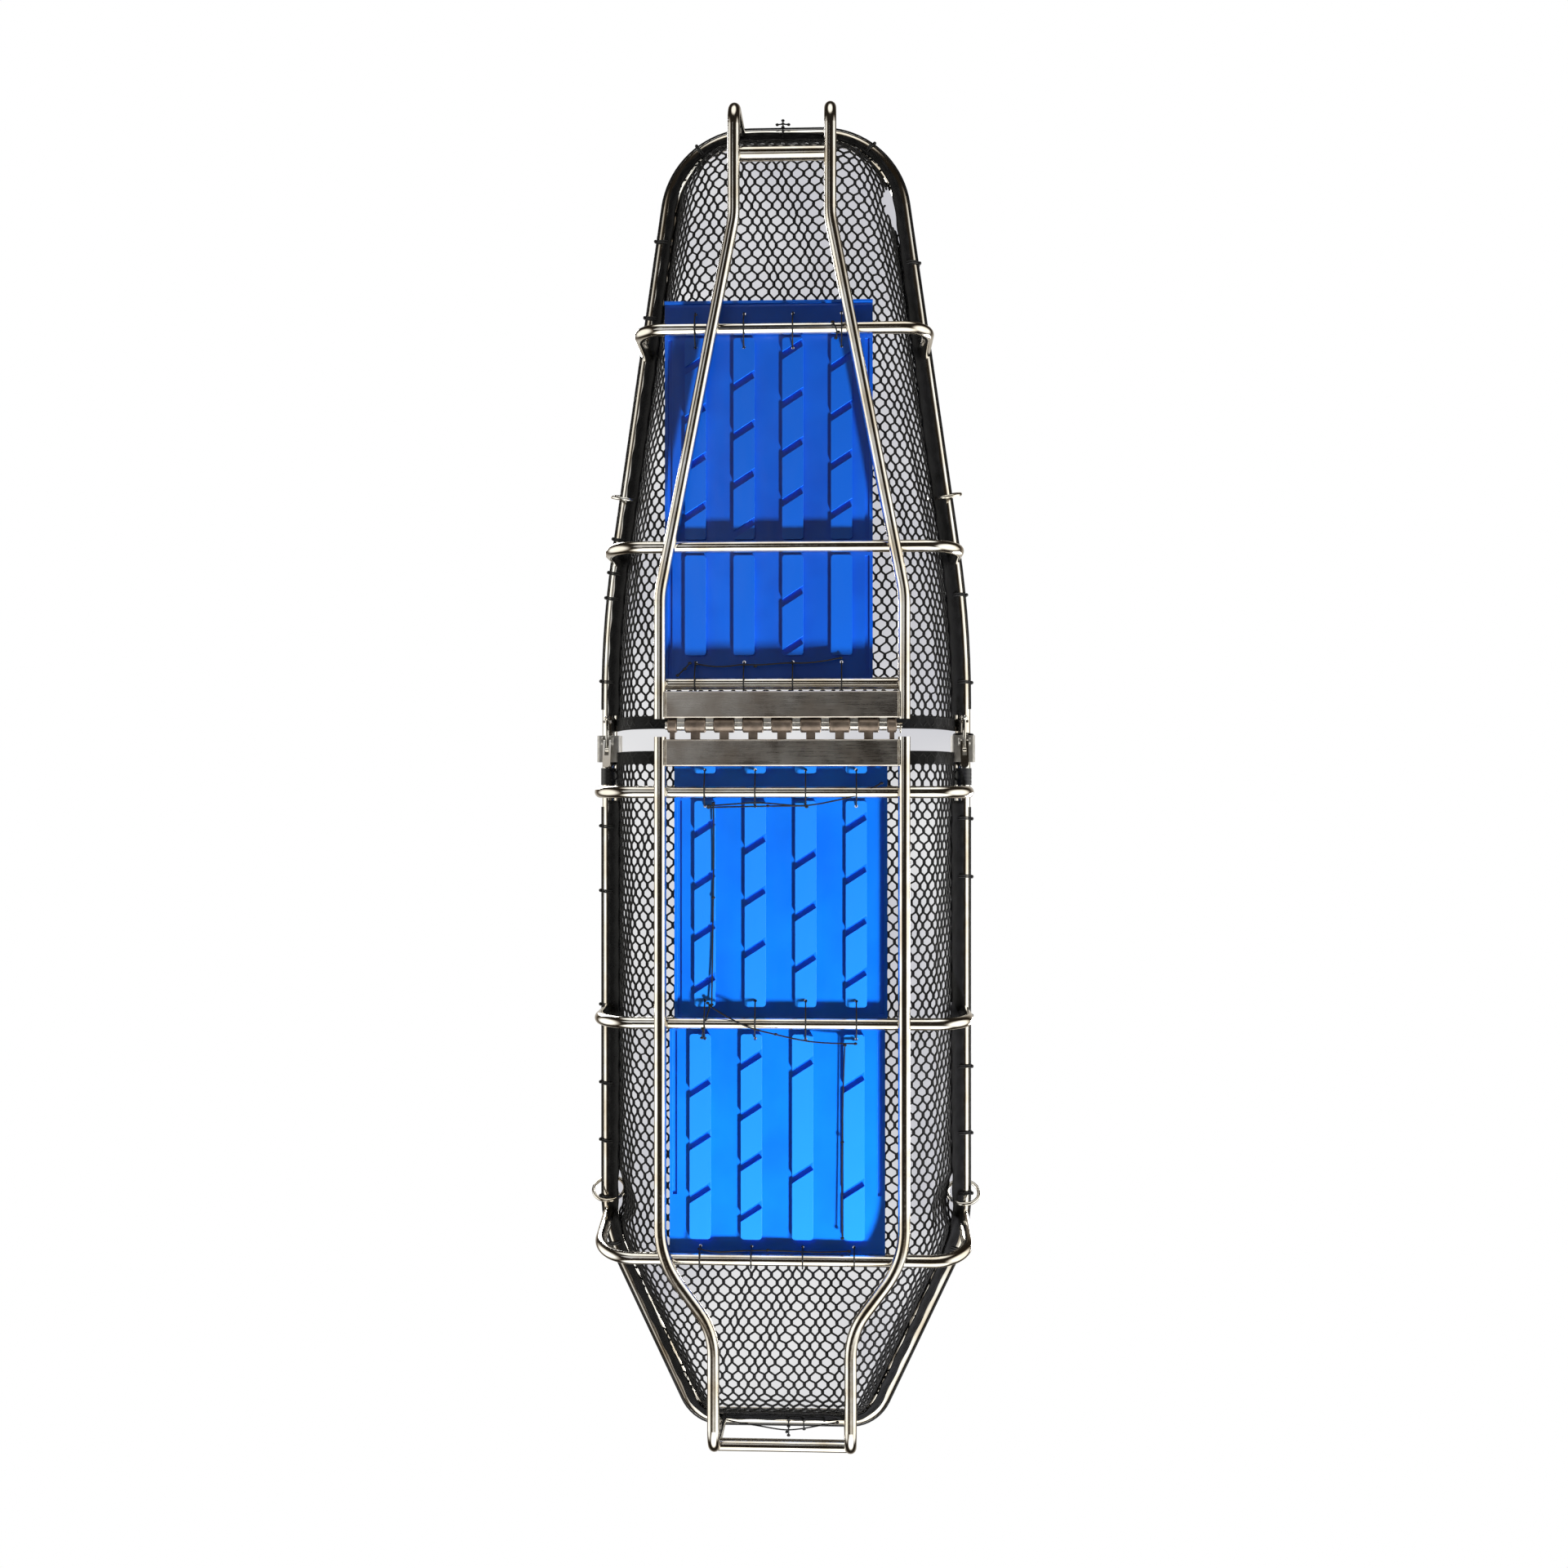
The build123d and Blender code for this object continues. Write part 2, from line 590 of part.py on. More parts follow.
def net_section(end, inset, z, split_y):
    """The basket's plan at one height, closed across the split."""
    (x1, y1), (x2, y2) = inset_corners(end, RAIL_D / 2 + NET_RAIL_GAP + inset)
    bend, corner = rail_radii(end)
    radii = [max(r - RAIL_D / 2 - inset, NET_CORNER_MIN_R) for r in (bend, corner, corner, bend)]
    points = [(-x1, split_y, z), (-x1, y1, z), (-x2, y2, z), (x2, y2, z), (x1, y1, z), (x1, split_y, z)]
    side = FilletPolyline(*points, radius=radii)
    return make_face([*side.edges(), Line(side @ 1, side @ 0)])


def net_body(end, thinner, split_y):
    """The space inside the netting's outer face, or, thinner, inside its inner face."""
    levels = list(NET_LEVELS)
    faces = []
    for i, (inset, drop) in enumerate(levels):
        z = RAIL_Z - drop
        if thinner:
            inset += thinner
            z += 2 * thinner if i == 0 else 0.3 * thinner if i < 3 else thinner
        faces.append(net_section(end, inset, z, split_y))
    return loft(faces, ruled=True)


def hem_and_net(end):
    """The hem band along the split, and the netting behind it, folded round what the rail carries."""
    sign = 1 if end == "head" else -1
    split_y = HINGE_Y + (NET_GAP_HEAD if end == "head" else NET_GAP_FOOT)
    shell = net_body(end, 0, split_y) - net_body(end, NET_T, split_y - sign * 5)
    for side in (-1, 1):
        shell -= ring_room(end, side)
        if end == "head":
            shell -= coupling_room(side)
    band = Pos(0, split_y + sign * (HEM_WIDTH / 2 - 10), RAIL_Z / 2) * Box(WIDTH, HEM_WIDTH + 20, 400)
    return largest(shell & band), largest(shell - band)


def coupling_room(side):
    """The space of the socket and of the tape on the rail, which the netting leaves free."""
    room = 2 * NET_ROOM
    socket_y = MOUTH_Y + SOCKET_LENGTH / 2
    block = Pos(side * RAIL_X, socket_y, RAIL_Z) * Box(SOCKET_WIDTH + room, SOCKET_LENGTH + room,
                                                       SOCKET_HEIGHT + room)
    radius = RAIL_D / 2 + WELD_GAP + WRAP_T + NET_ROOM
    return block + rod_along("y", (side * RAIL_X, wrap_y(), RAIL_Z), radius, WRAP_LENGTH + room)


def largest(shape):
    return shape.solids().sort_by(lambda piece: piece.volume)[-1]


# Boards

def strip_xs(name):
    """The middles of a board's four strips."""
    middle, width = BOARDS[name]
    pitch = (width - 2 * STRIP_MARGIN) / 3
    return [middle + step * pitch for step in (-1.5, -0.5, 0.5, 1.5)]


def groove(x, y):
    """A slanted groove across a strip."""
    return Pos(x, y, BOARD_Z - STRIP_HEIGHT + GROOVE_DEPTH / 2) * Rot(0, 0, -GROOVE_ANGLE) * Box(
        2 * STRIP_WIDTH, GROOVE_WIDTH, GROOVE_DEPTH)


def strip(x, low_y, high_y):
    """A raised strip under a board, with rounded ends."""
    body = Pos(x, (low_y + high_y) / 2, BOARD_Z - STRIP_HEIGHT / 2) * Box(
        STRIP_WIDTH, high_y - low_y, STRIP_HEIGHT)
    return fillet(body.edges().filter_by(Axis.Z), STRIP_END_R)


def strips(name, low, high, from_y=0.0, patterns=None):
    """A board's row of strips, with their grooves measured from the tube at the low end."""
    row = []
    for i, x in enumerate(strip_xs(name)):
        piece = strip(x, low, high)
        if patterns:
            first, pitch, count = patterns[i]
            piece -= [groove(x, from_y + first + step * pitch) for step in range(count)]
        row.append(piece)
    return row


def board(name, low_y, high_y, channels):
    """A board's sheet, with a channel under each long side."""
    middle, width = BOARDS[name]
    sheet = Pos(middle, (low_y + high_y) / 2, BOARD_Z + BOARD_T / 2) * Box(width, high_y - low_y, BOARD_T)
    for low, high in channels:
        for side in (-1, 1):
            x = middle + side * (width / 2 - CHANNEL_INSET)
            sheet -= Pos(x, (low + high) / 2, BOARD_Z) * Box(CHANNEL_WIDTH, high - low, 2 * CHANNEL_DEPTH)
    return sheet


def past(name, side):
    """Where the strips end beside a tube: side 0 is its low side and side 1 its high side."""
    y = BOARD_REST_Y if name == "rest" else rib_y(name)
    return y - STRIP_ENDS[name][0] if side == 0 else y + STRIP_ENDS[name][1]


def foot_lip(edge_y):
    """The rolled edge at the foot board's low end."""
    middle, width = BOARDS["foot_board"]
    centre = (middle, edge_y, BOARD_Z + BOARD_T - LIP_R)
    roll = rod_along("x", centre, LIP_R, width) - rod_along("x", centre, LIP_R - BOARD_T, 2 * width)
    return roll & Pos(middle, edge_y - LIP_R / 2, centre[2] + LIP_R / 2) * Box(2 * width, LIP_R, LIP_R)


def foot_board():
    shin, foot = rib_y("shin_rib"), rib_y("foot_rib")
    low, high = foot - TUBE_D / 2 - FOOT_BOARD_OVERHANG, BOARD_REST_Y + REST_BOARD_OVERHANG
    channels = [(foot + CHANNEL_END, shin - CHANNEL_END), (shin + CHANNEL_END, BOARD_REST_Y - CHANNEL_END)]
    body = board("foot_board", low, high, channels) + foot_lip(low)
    body += strips("foot_board", past("foot_rib", 1), past("shin_rib", 0), foot, GROOVES["foot_board"])
    return body + strips("foot_board", past("shin_rib", 1), past("rest", 0), shin, GROOVES["shin"])


def back_board():
    back, waist = rib_y("back_rib"), rib_y("waist_rib")
    low = HINGE_Y + BAR_GAP_HEAD + BACK_BOARD_START
    body = board("back_board", low, waist - BOARD_JOINT / 2, [(back + CHANNEL_END, waist - CHANNEL_END)])
    body += strips("back_board", past("back_rib", 0) - TAB_LENGTH, past("back_rib", 0))
    return body + strips("back_board", past("back_rib", 1), past("waist_rib", 0), back, GROOVES["back_board"])


def head_board():
    waist, head = rib_y("waist_rib"), rib_y("head_rib")
    body = board("head_board", waist + BOARD_JOINT / 2, head + HEAD_BOARD_OVERHANG,
                 [(waist + CHANNEL_END, head - HEAD_CHANNEL_END)])
    return body + strips("head_board", past("waist_rib", 1), past("head_rib", 0), waist,
                         GROOVES["head_board"])


def tie_rows(end):
    """The tubes that the boards of one half are tied to, and the board whose strips the ties meet."""
    if end == "head":
        return [("back_rib", "back_board"), ("waist_rib", "back_board"), ("head_rib", "head_board")]
    return [("foot_rib", "foot_board"), ("rest", "foot_board")]


def tie_places(end):
    """Each tie: its place across, and the tube's place, low side and high side along the length."""
    over_end = TUBE_D / 2 + TIE_D / 2 + TIE_SLACK
    places = []
    for tube_name, board_name in tie_rows(end):
        y = BOARD_REST_Y if tube_name == "rest" else rib_y(tube_name)
        low, high = TIE_SPANS[tube_name]
        places += [(x, y, low, high or over_end) for x in strip_xs(board_name)]
    return places


def tie_holes(body, end):
    for x, y, low, high in tie_places(end):
        for hole_y in (y - low, y + high):
            body -= rod_along("z", (x, hole_y, BOARD_Z), TIE_HOLE_D / 2, 40)
    return body


def tie(x, y, low, high):
    """A cord round a tube, up through the board on both sides or up past the board's end."""
    top = BOARD_Z + BOARD_T + WELD_GAP + TIE_D / 2
    under = RIB_Z - TUBE_D / 2 - WELD_GAP - TIE_D / 2
    mouth = BOARD_Z - STRIP_HEIGHT - 1
    points = [(x, y - TIE_END, top), (x, y - low, top), (x, y - low, mouth), (x, y - TUBE_D / 2 - 1, under)]
    radii = [TIE_TURN_R, 3.0, 8.0]
    if high > TUBE_D:
        points += [(x, y + TUBE_D / 2 + 1, under), (x, y + high, mouth)]
        radii += [8.0, 3.0, TIE_TURN_R]
    else:
        points += [(x, y + high, under)]
        radii += [4.0, TIE_TURN_R]
    points += [(x, y + high, top), (x, y + TIE_END, top)]
    path = FilletPolyline(*points, radius=radii)
    return sweep(Plane(path @ 0, z_dir=path % 0) * RegularPolygon(TIE_D / 2, 6), path=path)


def board_ties(end):
    return [tie(*place) for place in tie_places(end)]


# Lacing

def lacing(end):
    """The cord that runs under the rail's outer edge and holds the netting."""
    out = RAIL_D / 2 + WELD_GAP + LACING_D / 2
    x_out, drop = out * cos(radians(LACING_ANGLE)), out * sin(radians(LACING_ANGLE))
    start = LACING_START_HEAD if end == "head" else FOOT_BEND_RUN + LACING_LEAD - FOOT_BEND_SHARE * RAIL_END
    points, radii = rail_path(end, start, x_out, RAIL_Z - drop)
    path = FilletPolyline(*points, radius=radii)
    section = Plane(path @ 0, z_dir=path % 0) * RegularPolygon(LACING_D / 2, 6)
    print(end, "lacing radii", [round(r) for r in radii], "length", round(path.length))
    return sweep(section, path=path)


def build():
    nodes = {}
    for end in ("head", "foot"):
        nodes[f"{end}_rail"] = rail_room(end, 0)
        nodes[f"{end}_hem"], nodes[f"{end}_net"] = hem_and_net(end)
        nodes[f"{end}_lacing"] = lacing(end)
        nodes[f"{end}_board_ties"] = board_ties(end)
        for name, side in SIDES.items():
            nodes[f"{end}_runner_{name}"] = runner(end, side)
            nodes[f"{end}_ring_{name}"] = ring(end, side)
    for name in RIBS:
        nodes[name + "_tube"] = rib(name)
    nodes["grab_tube"] = grab_tube()
    nodes["foot_cross_tube"] = foot_cross_tube()
    nodes["board_rest_tube"] = board_rest()
    nodes["hinge_bar_head"] = hinge_bar(BAR_GAP_HEAD, 1)
    nodes["hinge_bar_foot"] = hinge_bar(BAR_GAP_FOOT, -1)
    nodes["hinge_barrels"] = hinge_barrels()
    nodes["hinge_lugs"] = hinge_lugs()
    nodes["hinge_rod"] = hinge_rod()
    nodes["hinge_rod_clip"] = rod_clip()
    nodes["foot_board"] = tie_holes(foot_board(), "foot")
    nodes["back_board"] = tie_holes(back_board(), "head")
    nodes["head_board"] = tie_holes(head_board(), "head")
    pair = {"rail_socket": socket, "rail_spigot": spigot, "rail_wrap": rail_wrap,
            "latch_bracket": latch_bracket, "latch_pivots": latch_pivots, "latch_lever": latch_lever,
            "draw_pin": draw_pin, "draw_rod": draw_rod, "draw_ball": draw_ball, "keeper": keeper}
    for part, make in pair.items():
        for name, side in SIDES.items():
            nodes[f"{part}_{name}"] = make(side)
    return nodes


def save(nodes):
    os.makedirs("parts", exist_ok=True)
    for name, shape in nodes.items():
        pieces = shape if isinstance(shape, list) else [shape]
        solids = [solid for piece in pieces for solid in piece.solids()]
        body = solids[0] if len(solids) == 1 else Compound(children=solids)
        export_step(body, f"parts/{name}.step")


if __name__ == "__main__":
    save(build())
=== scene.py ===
import math

import bmesh
import bpy
import numpy as np
from mathutils import Matrix, Vector
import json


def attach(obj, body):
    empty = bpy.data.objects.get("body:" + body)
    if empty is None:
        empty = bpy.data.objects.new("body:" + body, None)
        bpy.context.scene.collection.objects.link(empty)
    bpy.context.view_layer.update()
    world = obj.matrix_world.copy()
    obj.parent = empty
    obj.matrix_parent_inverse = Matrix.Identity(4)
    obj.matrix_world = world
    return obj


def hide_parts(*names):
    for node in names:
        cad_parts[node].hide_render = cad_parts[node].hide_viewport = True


# A folding basket stretcher on its runners: +Z is up and +Y points to the head end. The photograph looks
# straight up at its underside. Lengths here are in millimetres, and MM turns them into metres.
MM = 0.001

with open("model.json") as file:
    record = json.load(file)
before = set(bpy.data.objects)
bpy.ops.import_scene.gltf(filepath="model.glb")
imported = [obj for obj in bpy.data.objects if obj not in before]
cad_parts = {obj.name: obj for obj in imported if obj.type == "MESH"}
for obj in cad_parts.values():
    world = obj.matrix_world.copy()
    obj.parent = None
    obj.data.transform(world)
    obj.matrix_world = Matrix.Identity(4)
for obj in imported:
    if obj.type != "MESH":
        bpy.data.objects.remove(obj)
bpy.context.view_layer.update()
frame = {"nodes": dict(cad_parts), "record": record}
bpy.context.scene.view_settings.view_transform = "Standard"

# The rail's line, the same as in the part
RAIL_X, RAIL_END, RAIL_Z = 294.5, 1066.0, 178.0
RAIL_LINE = {
    "head": {"start": -44.4, "bend": 751.0, "taper": 25.4, "radii": (247.0, 60.0)},
    "foot": {"start": -68.7, "bend": -250.0, "taper": 8.18, "radii": (1800.0, 137.0)},
}
# The lowest face of the boards' strips, and how far above it the paler colour painted on them as light starts
# and is full
STRIP_FACE_Z = 32.6
STRIP_PAINTED_LIGHT = (3.0, 0.5)
# The boards' edges: how wide they are eased, from what angle on, and how near two points are one
EASED_EDGE = 0.7
SHARP_ANGLE = 35
MERGE = 0.02
# Netting: where it starts at the fold, and how high it lies at a distance inside the rail's line
SPLIT = {"head": -39.3, "foot": -76.5}
NET_DEPTH = ((12.8, 176.0), (30.3, 119.0), (52.8, 75.5), (85.8, 53.5), (130.8, 48.0), (400.0, 48.0))
CELL_WIDTH = 17.2
CELL_HEIGHT = 25.0
STRAND_R = 1.85
KNOT_LENGTH = 7.0
NET_COLUMNS = 60
# How far inside the rail's line the netting ends, beside it and at the ends
NET_EDGE = 13.0
NET_END = 13.2
# Half the distance over which a crease of the netting is eased, and the step it is worked out in
CREASE = 7.5
CREASE_STEP = 0.25
# How far two strands lie apart at a knot, and how far a knot may lie from its place
STRAND_GAP = 0.95
KNOT_SHIFT = 0.6
# How the columns sway: how far, over what length, and how much later each column does
SWAYS = ((2.6, 83, 0.21), (1.6, 31, 0.8))
# How finely the netting's surface is worked out: rows, places across, and points kept in a row
NET_ROWS, NET_ACROSS, NET_KEPT = 300, 150, 120
# How far the rail's line is carried on past the fold
RUN_ON = 60
# The gap where the netting has come away from the hem, near the foot: its middle and half size
TEAR = (183.0, -938.0, 21.0, 36.0)
# Where the netting is drawn inwards behind the head rings: its middle, its reach and how far
RING_SLACK = (276.0, 688.0, 42.0, 11.0)
# Webbing: its width at the fold, its thickness there and round the rail, and the cord in its edges
HEM_WIDTH = 18.5
HEM_T = 2.6
RAIL_HEM_T = 1.8
PIPING_R = 2.0
# The webbing folded round the rail: how far inside the rail's line, and how far below it
HEM_FOLD = ((-0.5, -14.6), (5.0, -15.2), (10.0, -16.0), (14.5, -20.0), (18.5, -30.0), (21.5, -40.0))
# How far from the fold it starts
HEM_START = {"head": 75.0, "foot": 22.0}
# The webbing round the rail narrows from the first place along each half to the second
HEM_NARROWS = (560.0, 900.0)
HEM_NARROWED = 0.72
# How high the ripples in the webbing are
HEM_RIPPLE, RAIL_HEM_SAG = 0.8, 0.7
# Cord: a hitch's turn round the rail, its knot, and a tie's cord and knot
HITCH_R, HITCH_REACH, HITCH_SLACK, HITCH_KNOT_R = 1.25, 14.2, 3.6, 3.1
HITCH_SPREAD, HITCH_SLANT, HITCH_POINTS = 1.5, 1.5, 28
# The angle round the rail at which a hitch stands off over the hem, and its knot's place from the rail's line
HITCH_OFF_ANGLE = 235
HITCH_KNOT_OUT, HITCH_KNOT_DROP = 14.5, 7.0
TIE_R, TIE_KNOT_R = 1.2, 2.6
# The cord's hitches round the rail, as places along each side
HITCHES = {"left": (-1040, -890, -765, -340, -395, -297, -160, 82, 190, 380, 510, 605, 700, 775),
           "right": (-1040, -850, -720, -375, -300, -155, -60, 70, 165, 395, 480, 590, 690, 780)}
# Weld beads at the hinge bars: their place and size, the step of their ripples, and where they run
WELD_X, WELD_Z, WELD_R, WELD_RIPPLE = 180.2, 2.4, 2.1, 1.1
WELD_SWING = (0.5, 0.4)
WELD_RUNS = {"head": (-55.8, -16.3), "foot": (-130.5, -91.0)}
# The camera stands below the stretcher, and the photograph's pixels are turned into places from there
EYE = (82.0, 12.0, -2200.0)
AIM = (3.4, 12.0, 9.5)
HALF_VIEW = 28.8
PIXEL = 1.26
PHOTO_MIDDLE = (957.3, 960.0)
PIXEL_LEAN = 0.028
# The floor's half width and height, and the height of the ground seen through the netting, which is painted
# grey as shade
FLOOR = 9000.0
FLOOR_Z = -0.5
GROUND_Z = 192.0


# Camera, light and backdrop


def linear(hexcode):
    """An sRGB hex colour as linear values."""
    parts = [int(hexcode[i:i + 2], 16) / 255 for i in (1, 3, 5)]
    return tuple(c / 12.92 if c <= 0.04045 else ((c + 0.055) / 1.055) ** 2.4 for c in parts) + (1.0,)


def add(tree, kind, inputs=None, **settings):
    """Adds a node, with its settings, and its inputs as values or as links."""
    made = tree.nodes.new("ShaderNode" + kind)
    for key, value in settings.items():
        setattr(made, key, value)
    for key, value in (inputs or {}).items():
        if isinstance(value, bpy.types.NodeSocket):
            tree.links.new(value, made.inputs[key])
        else:
            made.inputs[key].default_value = value
    return made


def place_camera():
    """The camera below the stretcher, a little to one side, with the foot end up in the picture."""
    data = bpy.data.cameras.new("camera")
    camera = bpy.data.objects.new("camera", data)
    bpy.context.collection.objects.link(camera)
    data.sensor_width = 36.0
    data.lens = 18.0 / math.tan(math.radians(HALF_VIEW))
    data.clip_end = 40.0
    eye = Vector(EYE) * MM
    aim = Vector(AIM) * MM
    back = (eye - aim).normalized()
    right = Vector((0, -1, 0)).cross(back).normalized()
    up = back.cross(right)
    turn = Matrix((right, up, back)).transposed().to_4x4()
    camera.matrix_world = Matrix.Translation(eye) @ turn
    bpy.context.scene.camera = camera


def softbox(name, place, aim, size, watts):
    """A soft area lamp, aimed at a point, all in millimetres."""
    data = bpy.data.lights.new(name, "AREA")
    data.shape = "RECTANGLE"
    data.size, data.size_y = size[0] * MM, size[1] * MM
    data.energy = watts
    lamp = bpy.data.objects.new(name, data)
    bpy.context.collection.objects.link(lamp)
    lamp.location = Vector(place) * MM
    lamp.rotation_euler = (Vector(aim) - Vector(place)).to_track_quat("-Z", "Y").to_euler()
    return lamp


def studio_world():
    """White behind the object. Metal sees soft panels in a dark room, brighter to the head end."""
    world = bpy.data.worlds.new("studio")
    bpy.context.scene.world = world
    world.use_nodes = True
    tree = world.node_tree
    tree.nodes.clear()
    way = add(tree, "TexCoord").outputs["Generated"]
    panels = [((0.95, 0.1, -0.15), 0.66, 0.95, 1.7), ((-0.97, 0.1, -0.1), 0.68, 0.97, 1.5),
              ((0.1, 0.86, -0.5), 0.72, 0.95, 2.1), ((0.0, -0.95, -0.15), 0.85, 0.97, 1.4),
              ((0.0, 0.1, 1.0), 0.55, 0.95, 0.6)]
    glow = None
    for aim, outer, inner, strength in panels:
        towards = add(tree, "VectorMath", {0: way, 1: Vector(aim).normalized()}, operation="DOT_PRODUCT")
        edge = {"Value": towards.outputs["Value"], "From Min": outer, "From Max": inner, "To Max": strength}
        panel = add(tree, "MapRange", edge, interpolation_type="SMOOTHSTEP")
        if glow:
            panel = add(tree, "Math", {0: glow.outputs[0], 1: panel.outputs[0]}, operation="ADD")
        glow = panel
    studio = add(tree, "Math", {0: glow.outputs[0], 1: 0.035}, operation="ADD")
    tint = add(tree, "Mix", {"Factor": studio.outputs[0]}, data_type="RGBA")
    tint.inputs[6].default_value, tint.inputs[7].default_value = linear("#C9B49C"), linear("#FFFEF8")
    rays = add(tree, "LightPath")
    glossy = add(tree, "Background", {"Color": tint.outputs[2], "Strength": studio.outputs[0]})
    soft = add(tree, "Background", {"Color": (1, 1, 1, 1), "Strength": 0.07})
    white = add(tree, "Background", {"Color": (1, 1, 1, 1), "Strength": 1.0})
    lit = add(tree, "MixShader", {"Fac": rays.outputs["Is Glossy Ray"]})
    tree.links.new(soft.outputs[0], lit.inputs[1])
    tree.links.new(glossy.outputs[0], lit.inputs[2])
    seen = add(tree, "MixShader", {"Fac": rays.outputs["Is Camera Ray"]})
    tree.links.new(lit.outputs[0], seen.inputs[1])
    tree.links.new(white.outputs[0], seen.inputs[2])
    out = add(tree, "OutputWorld")
    tree.links.new(seen.outputs[0], out.inputs["Surface"])


def one_sided(name, light, dark):
    """A plain glowing backdrop that shows only from its front, a little darker in patches. Behind the basket
    its grey and darker patches are painted shade.
    """
    material = bpy.data.materials.new(name)
    material.use_nodes = True
    tree = material.node_tree
    tree.nodes.clear()
    place = add(tree, "TexCoord").outputs["Object"]
    patch = add(tree, "TexNoise", {"Vector": place, "Scale": 3.0, "Detail": 1.0}).outputs["Fac"]
    shade = add(tree, "Mix", {"Factor": span(tree, patch, 0.0, 1.0, 0.38, 0.62)}, data_type="RGBA")
    shade.inputs[6].default_value, shade.inputs[7].default_value = linear(light), linear(dark)
    plain = add(tree, "Emission", {"Color": shade.outputs[2]})
    clear = add(tree, "BsdfTransparent")
    mix = add(tree, "MixShader", {"Fac": add(tree, "NewGeometry").outputs["Backfacing"]})
    tree.links.new(plain.outputs[0], mix.inputs[1])
    tree.links.new(clear.outputs[0], mix.inputs[2])
    out = add(tree, "OutputMaterial")
    tree.links.new(mix.outputs[0], out.inputs["Surface"])
    return material


def stage_sheet(name, outline, z, light, dark, faces_down):
    """A flat stage sheet that only the camera sees."""
    shape = bmesh.new()
    corners = [shape.verts.new((x * MM, y * MM, z * MM)) for x, y in outline]
    sheet = shape.faces.new(corners)
    sheet.normal_update()
    if (sheet.normal.z > 0) == faces_down:
        sheet.normal_flip()
    made = put(name, shape, one_sided(name, light, dark))
    made.visible_shadow = made.visible_diffuse = made.visible_glossy = made.visible_transmission = False


# Making pieces


def put(name, shape, material, smooth=False):
    """Turns a bmesh into an object at the origin with one material."""
    mesh = bpy.data.meshes.new(name)
    shape.to_mesh(mesh)
    shape.free()
    mesh.materials.append(material)
    if smooth:
        mesh.shade_smooth()
    made = bpy.data.objects.new(name, mesh)
    bpy.context.collection.objects.link(made)
    return made


def cords(name, lines, radius, material, closed=False, sides=1, smooth=False):
    """One curve piece made of many cords. Each line is a list of points in millimetres."""
    data = bpy.data.curves.new(name, "CURVE")
    data.dimensions = "3D"
    data.bevel_depth = radius * MM
    data.bevel_resolution = sides
    data.use_fill_caps = not closed
    data.resolution_u = 4
    for line in lines:
        spline = data.splines.new("NURBS" if smooth else "POLY")
        spline.points.add(len(line) - 1)
        flat = np.ones((len(line), 4))
        flat[:, :3] = np.asarray(line) * MM
        spline.points.foreach_set("co", flat.ravel())
        spline.use_cyclic_u = closed
        if smooth:
            spline.order_u = 4
            spline.use_endpoint_u = not closed
    data.materials.append(material)
    made = bpy.data.objects.new(name, data)
    bpy.context.collection.objects.link(made)
    return made


def ride(piece, body):
    """Puts a piece on a body."""
    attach(piece, body)


# Finishes


def new_finish(name, **values):
    """A material with its shader's own values set, and its object coordinates in millimetres."""
    material = bpy.data.materials.new(name)
    material.use_nodes = True
    tree = material.node_tree
    shader = tree.nodes["Principled BSDF"]
    for key, value in values.items():
        shader.inputs[key.replace("_", " ")].default_value = value
    metres = add(tree, "TexCoord").outputs["Object"]
    place = add(tree, "Mapping", {"Vector": metres, "Scale": (1 / MM, 1 / MM, 1 / MM)})
    return material, tree, shader, place.outputs[0]


def blotches(tree, place, size, detail=3.0, stretch=(1, 1, 1)):
    """Soft noise whose features are about a size in millimetres."""
    scaled = add(tree, "VectorMath", {0: place, 1: tuple(s / size for s in stretch)}, operation="MULTIPLY")
    noise = add(tree, "TexNoise", {"Vector": scaled.outputs[0], "Scale": 1.0, "Detail": detail})
    return noise.outputs["Fac"]


def span(tree, value, low, high, start=0.3, end=0.7):
    """A noise value stretched to a range."""
    return add(tree, "MapRange", {"Value": value, "From Min": start, "From Max": end,
                                  "To Min": low, "To Max": high}).outputs[0]


def two_tone(tree, shader, value, first, second):
    """A base colour between two colours, by a value from 0 to 1."""
    mix = add(tree, "Mix", {"Factor": value}, data_type="RGBA")
    mix.inputs[6].default_value, mix.inputs[7].default_value = linear(first), linear(second)
    tree.links.new(mix.outputs[2], shader.inputs["Base Color"])


def relief(tree, shader, height, depth, strength=1.0):
    """Bump of a depth in millimetres."""
    bump = add(tree, "Bump", {"Height": height, "Distance": depth * MM, "Strength": strength})
    tree.links.new(bump.outputs[0], shader.inputs["Normal"])


def polished_tube():
    """Stainless tube, mirror polished after bending: long soft waves, faint scratches, warm smears."""
    material, tree, shader, place = new_finish("polished_stainless_tube", Metallic=1.0)
    two_tone(tree, shader, span(tree, blotches(tree, place, 55), 0, 1), "#F2F2EF", "#CFC4B2")
    scratches = blotches(tree, place, 4, 5)
    tree.links.new(span(tree, scratches, 0.05, 0.17), shader.inputs["Roughness"])
    relief(tree, shader, blotches(tree, place, 30, 2), 0.5, 0.3)
    return material


def satin_plate():
    """Stainless bar, drawn and brushed along its length, with fingermarks."""
    material, tree, shader, place = new_finish("satin_stainless_bar", Metallic=1.0)
    two_tone(tree, shader, span(tree, blotches(tree, place, 60, 4), 0, 1, 0.35, 0.65), "#B4AAA0", "#D8D4CE")
    brushed = blotches(tree, place, 0.9, 3, (0.02, 1, 1))
    rough = add(tree, "Math", {0: span(tree, brushed, 0.2, 0.34),
                               1: span(tree, blotches(tree, place, 40), -0.04, 0.08)}, operation="ADD")
    tree.links.new(rough.outputs[0], shader.inputs["Roughness"])
    relief(tree, shader, brushed, 0.012, 0.4)
    return material


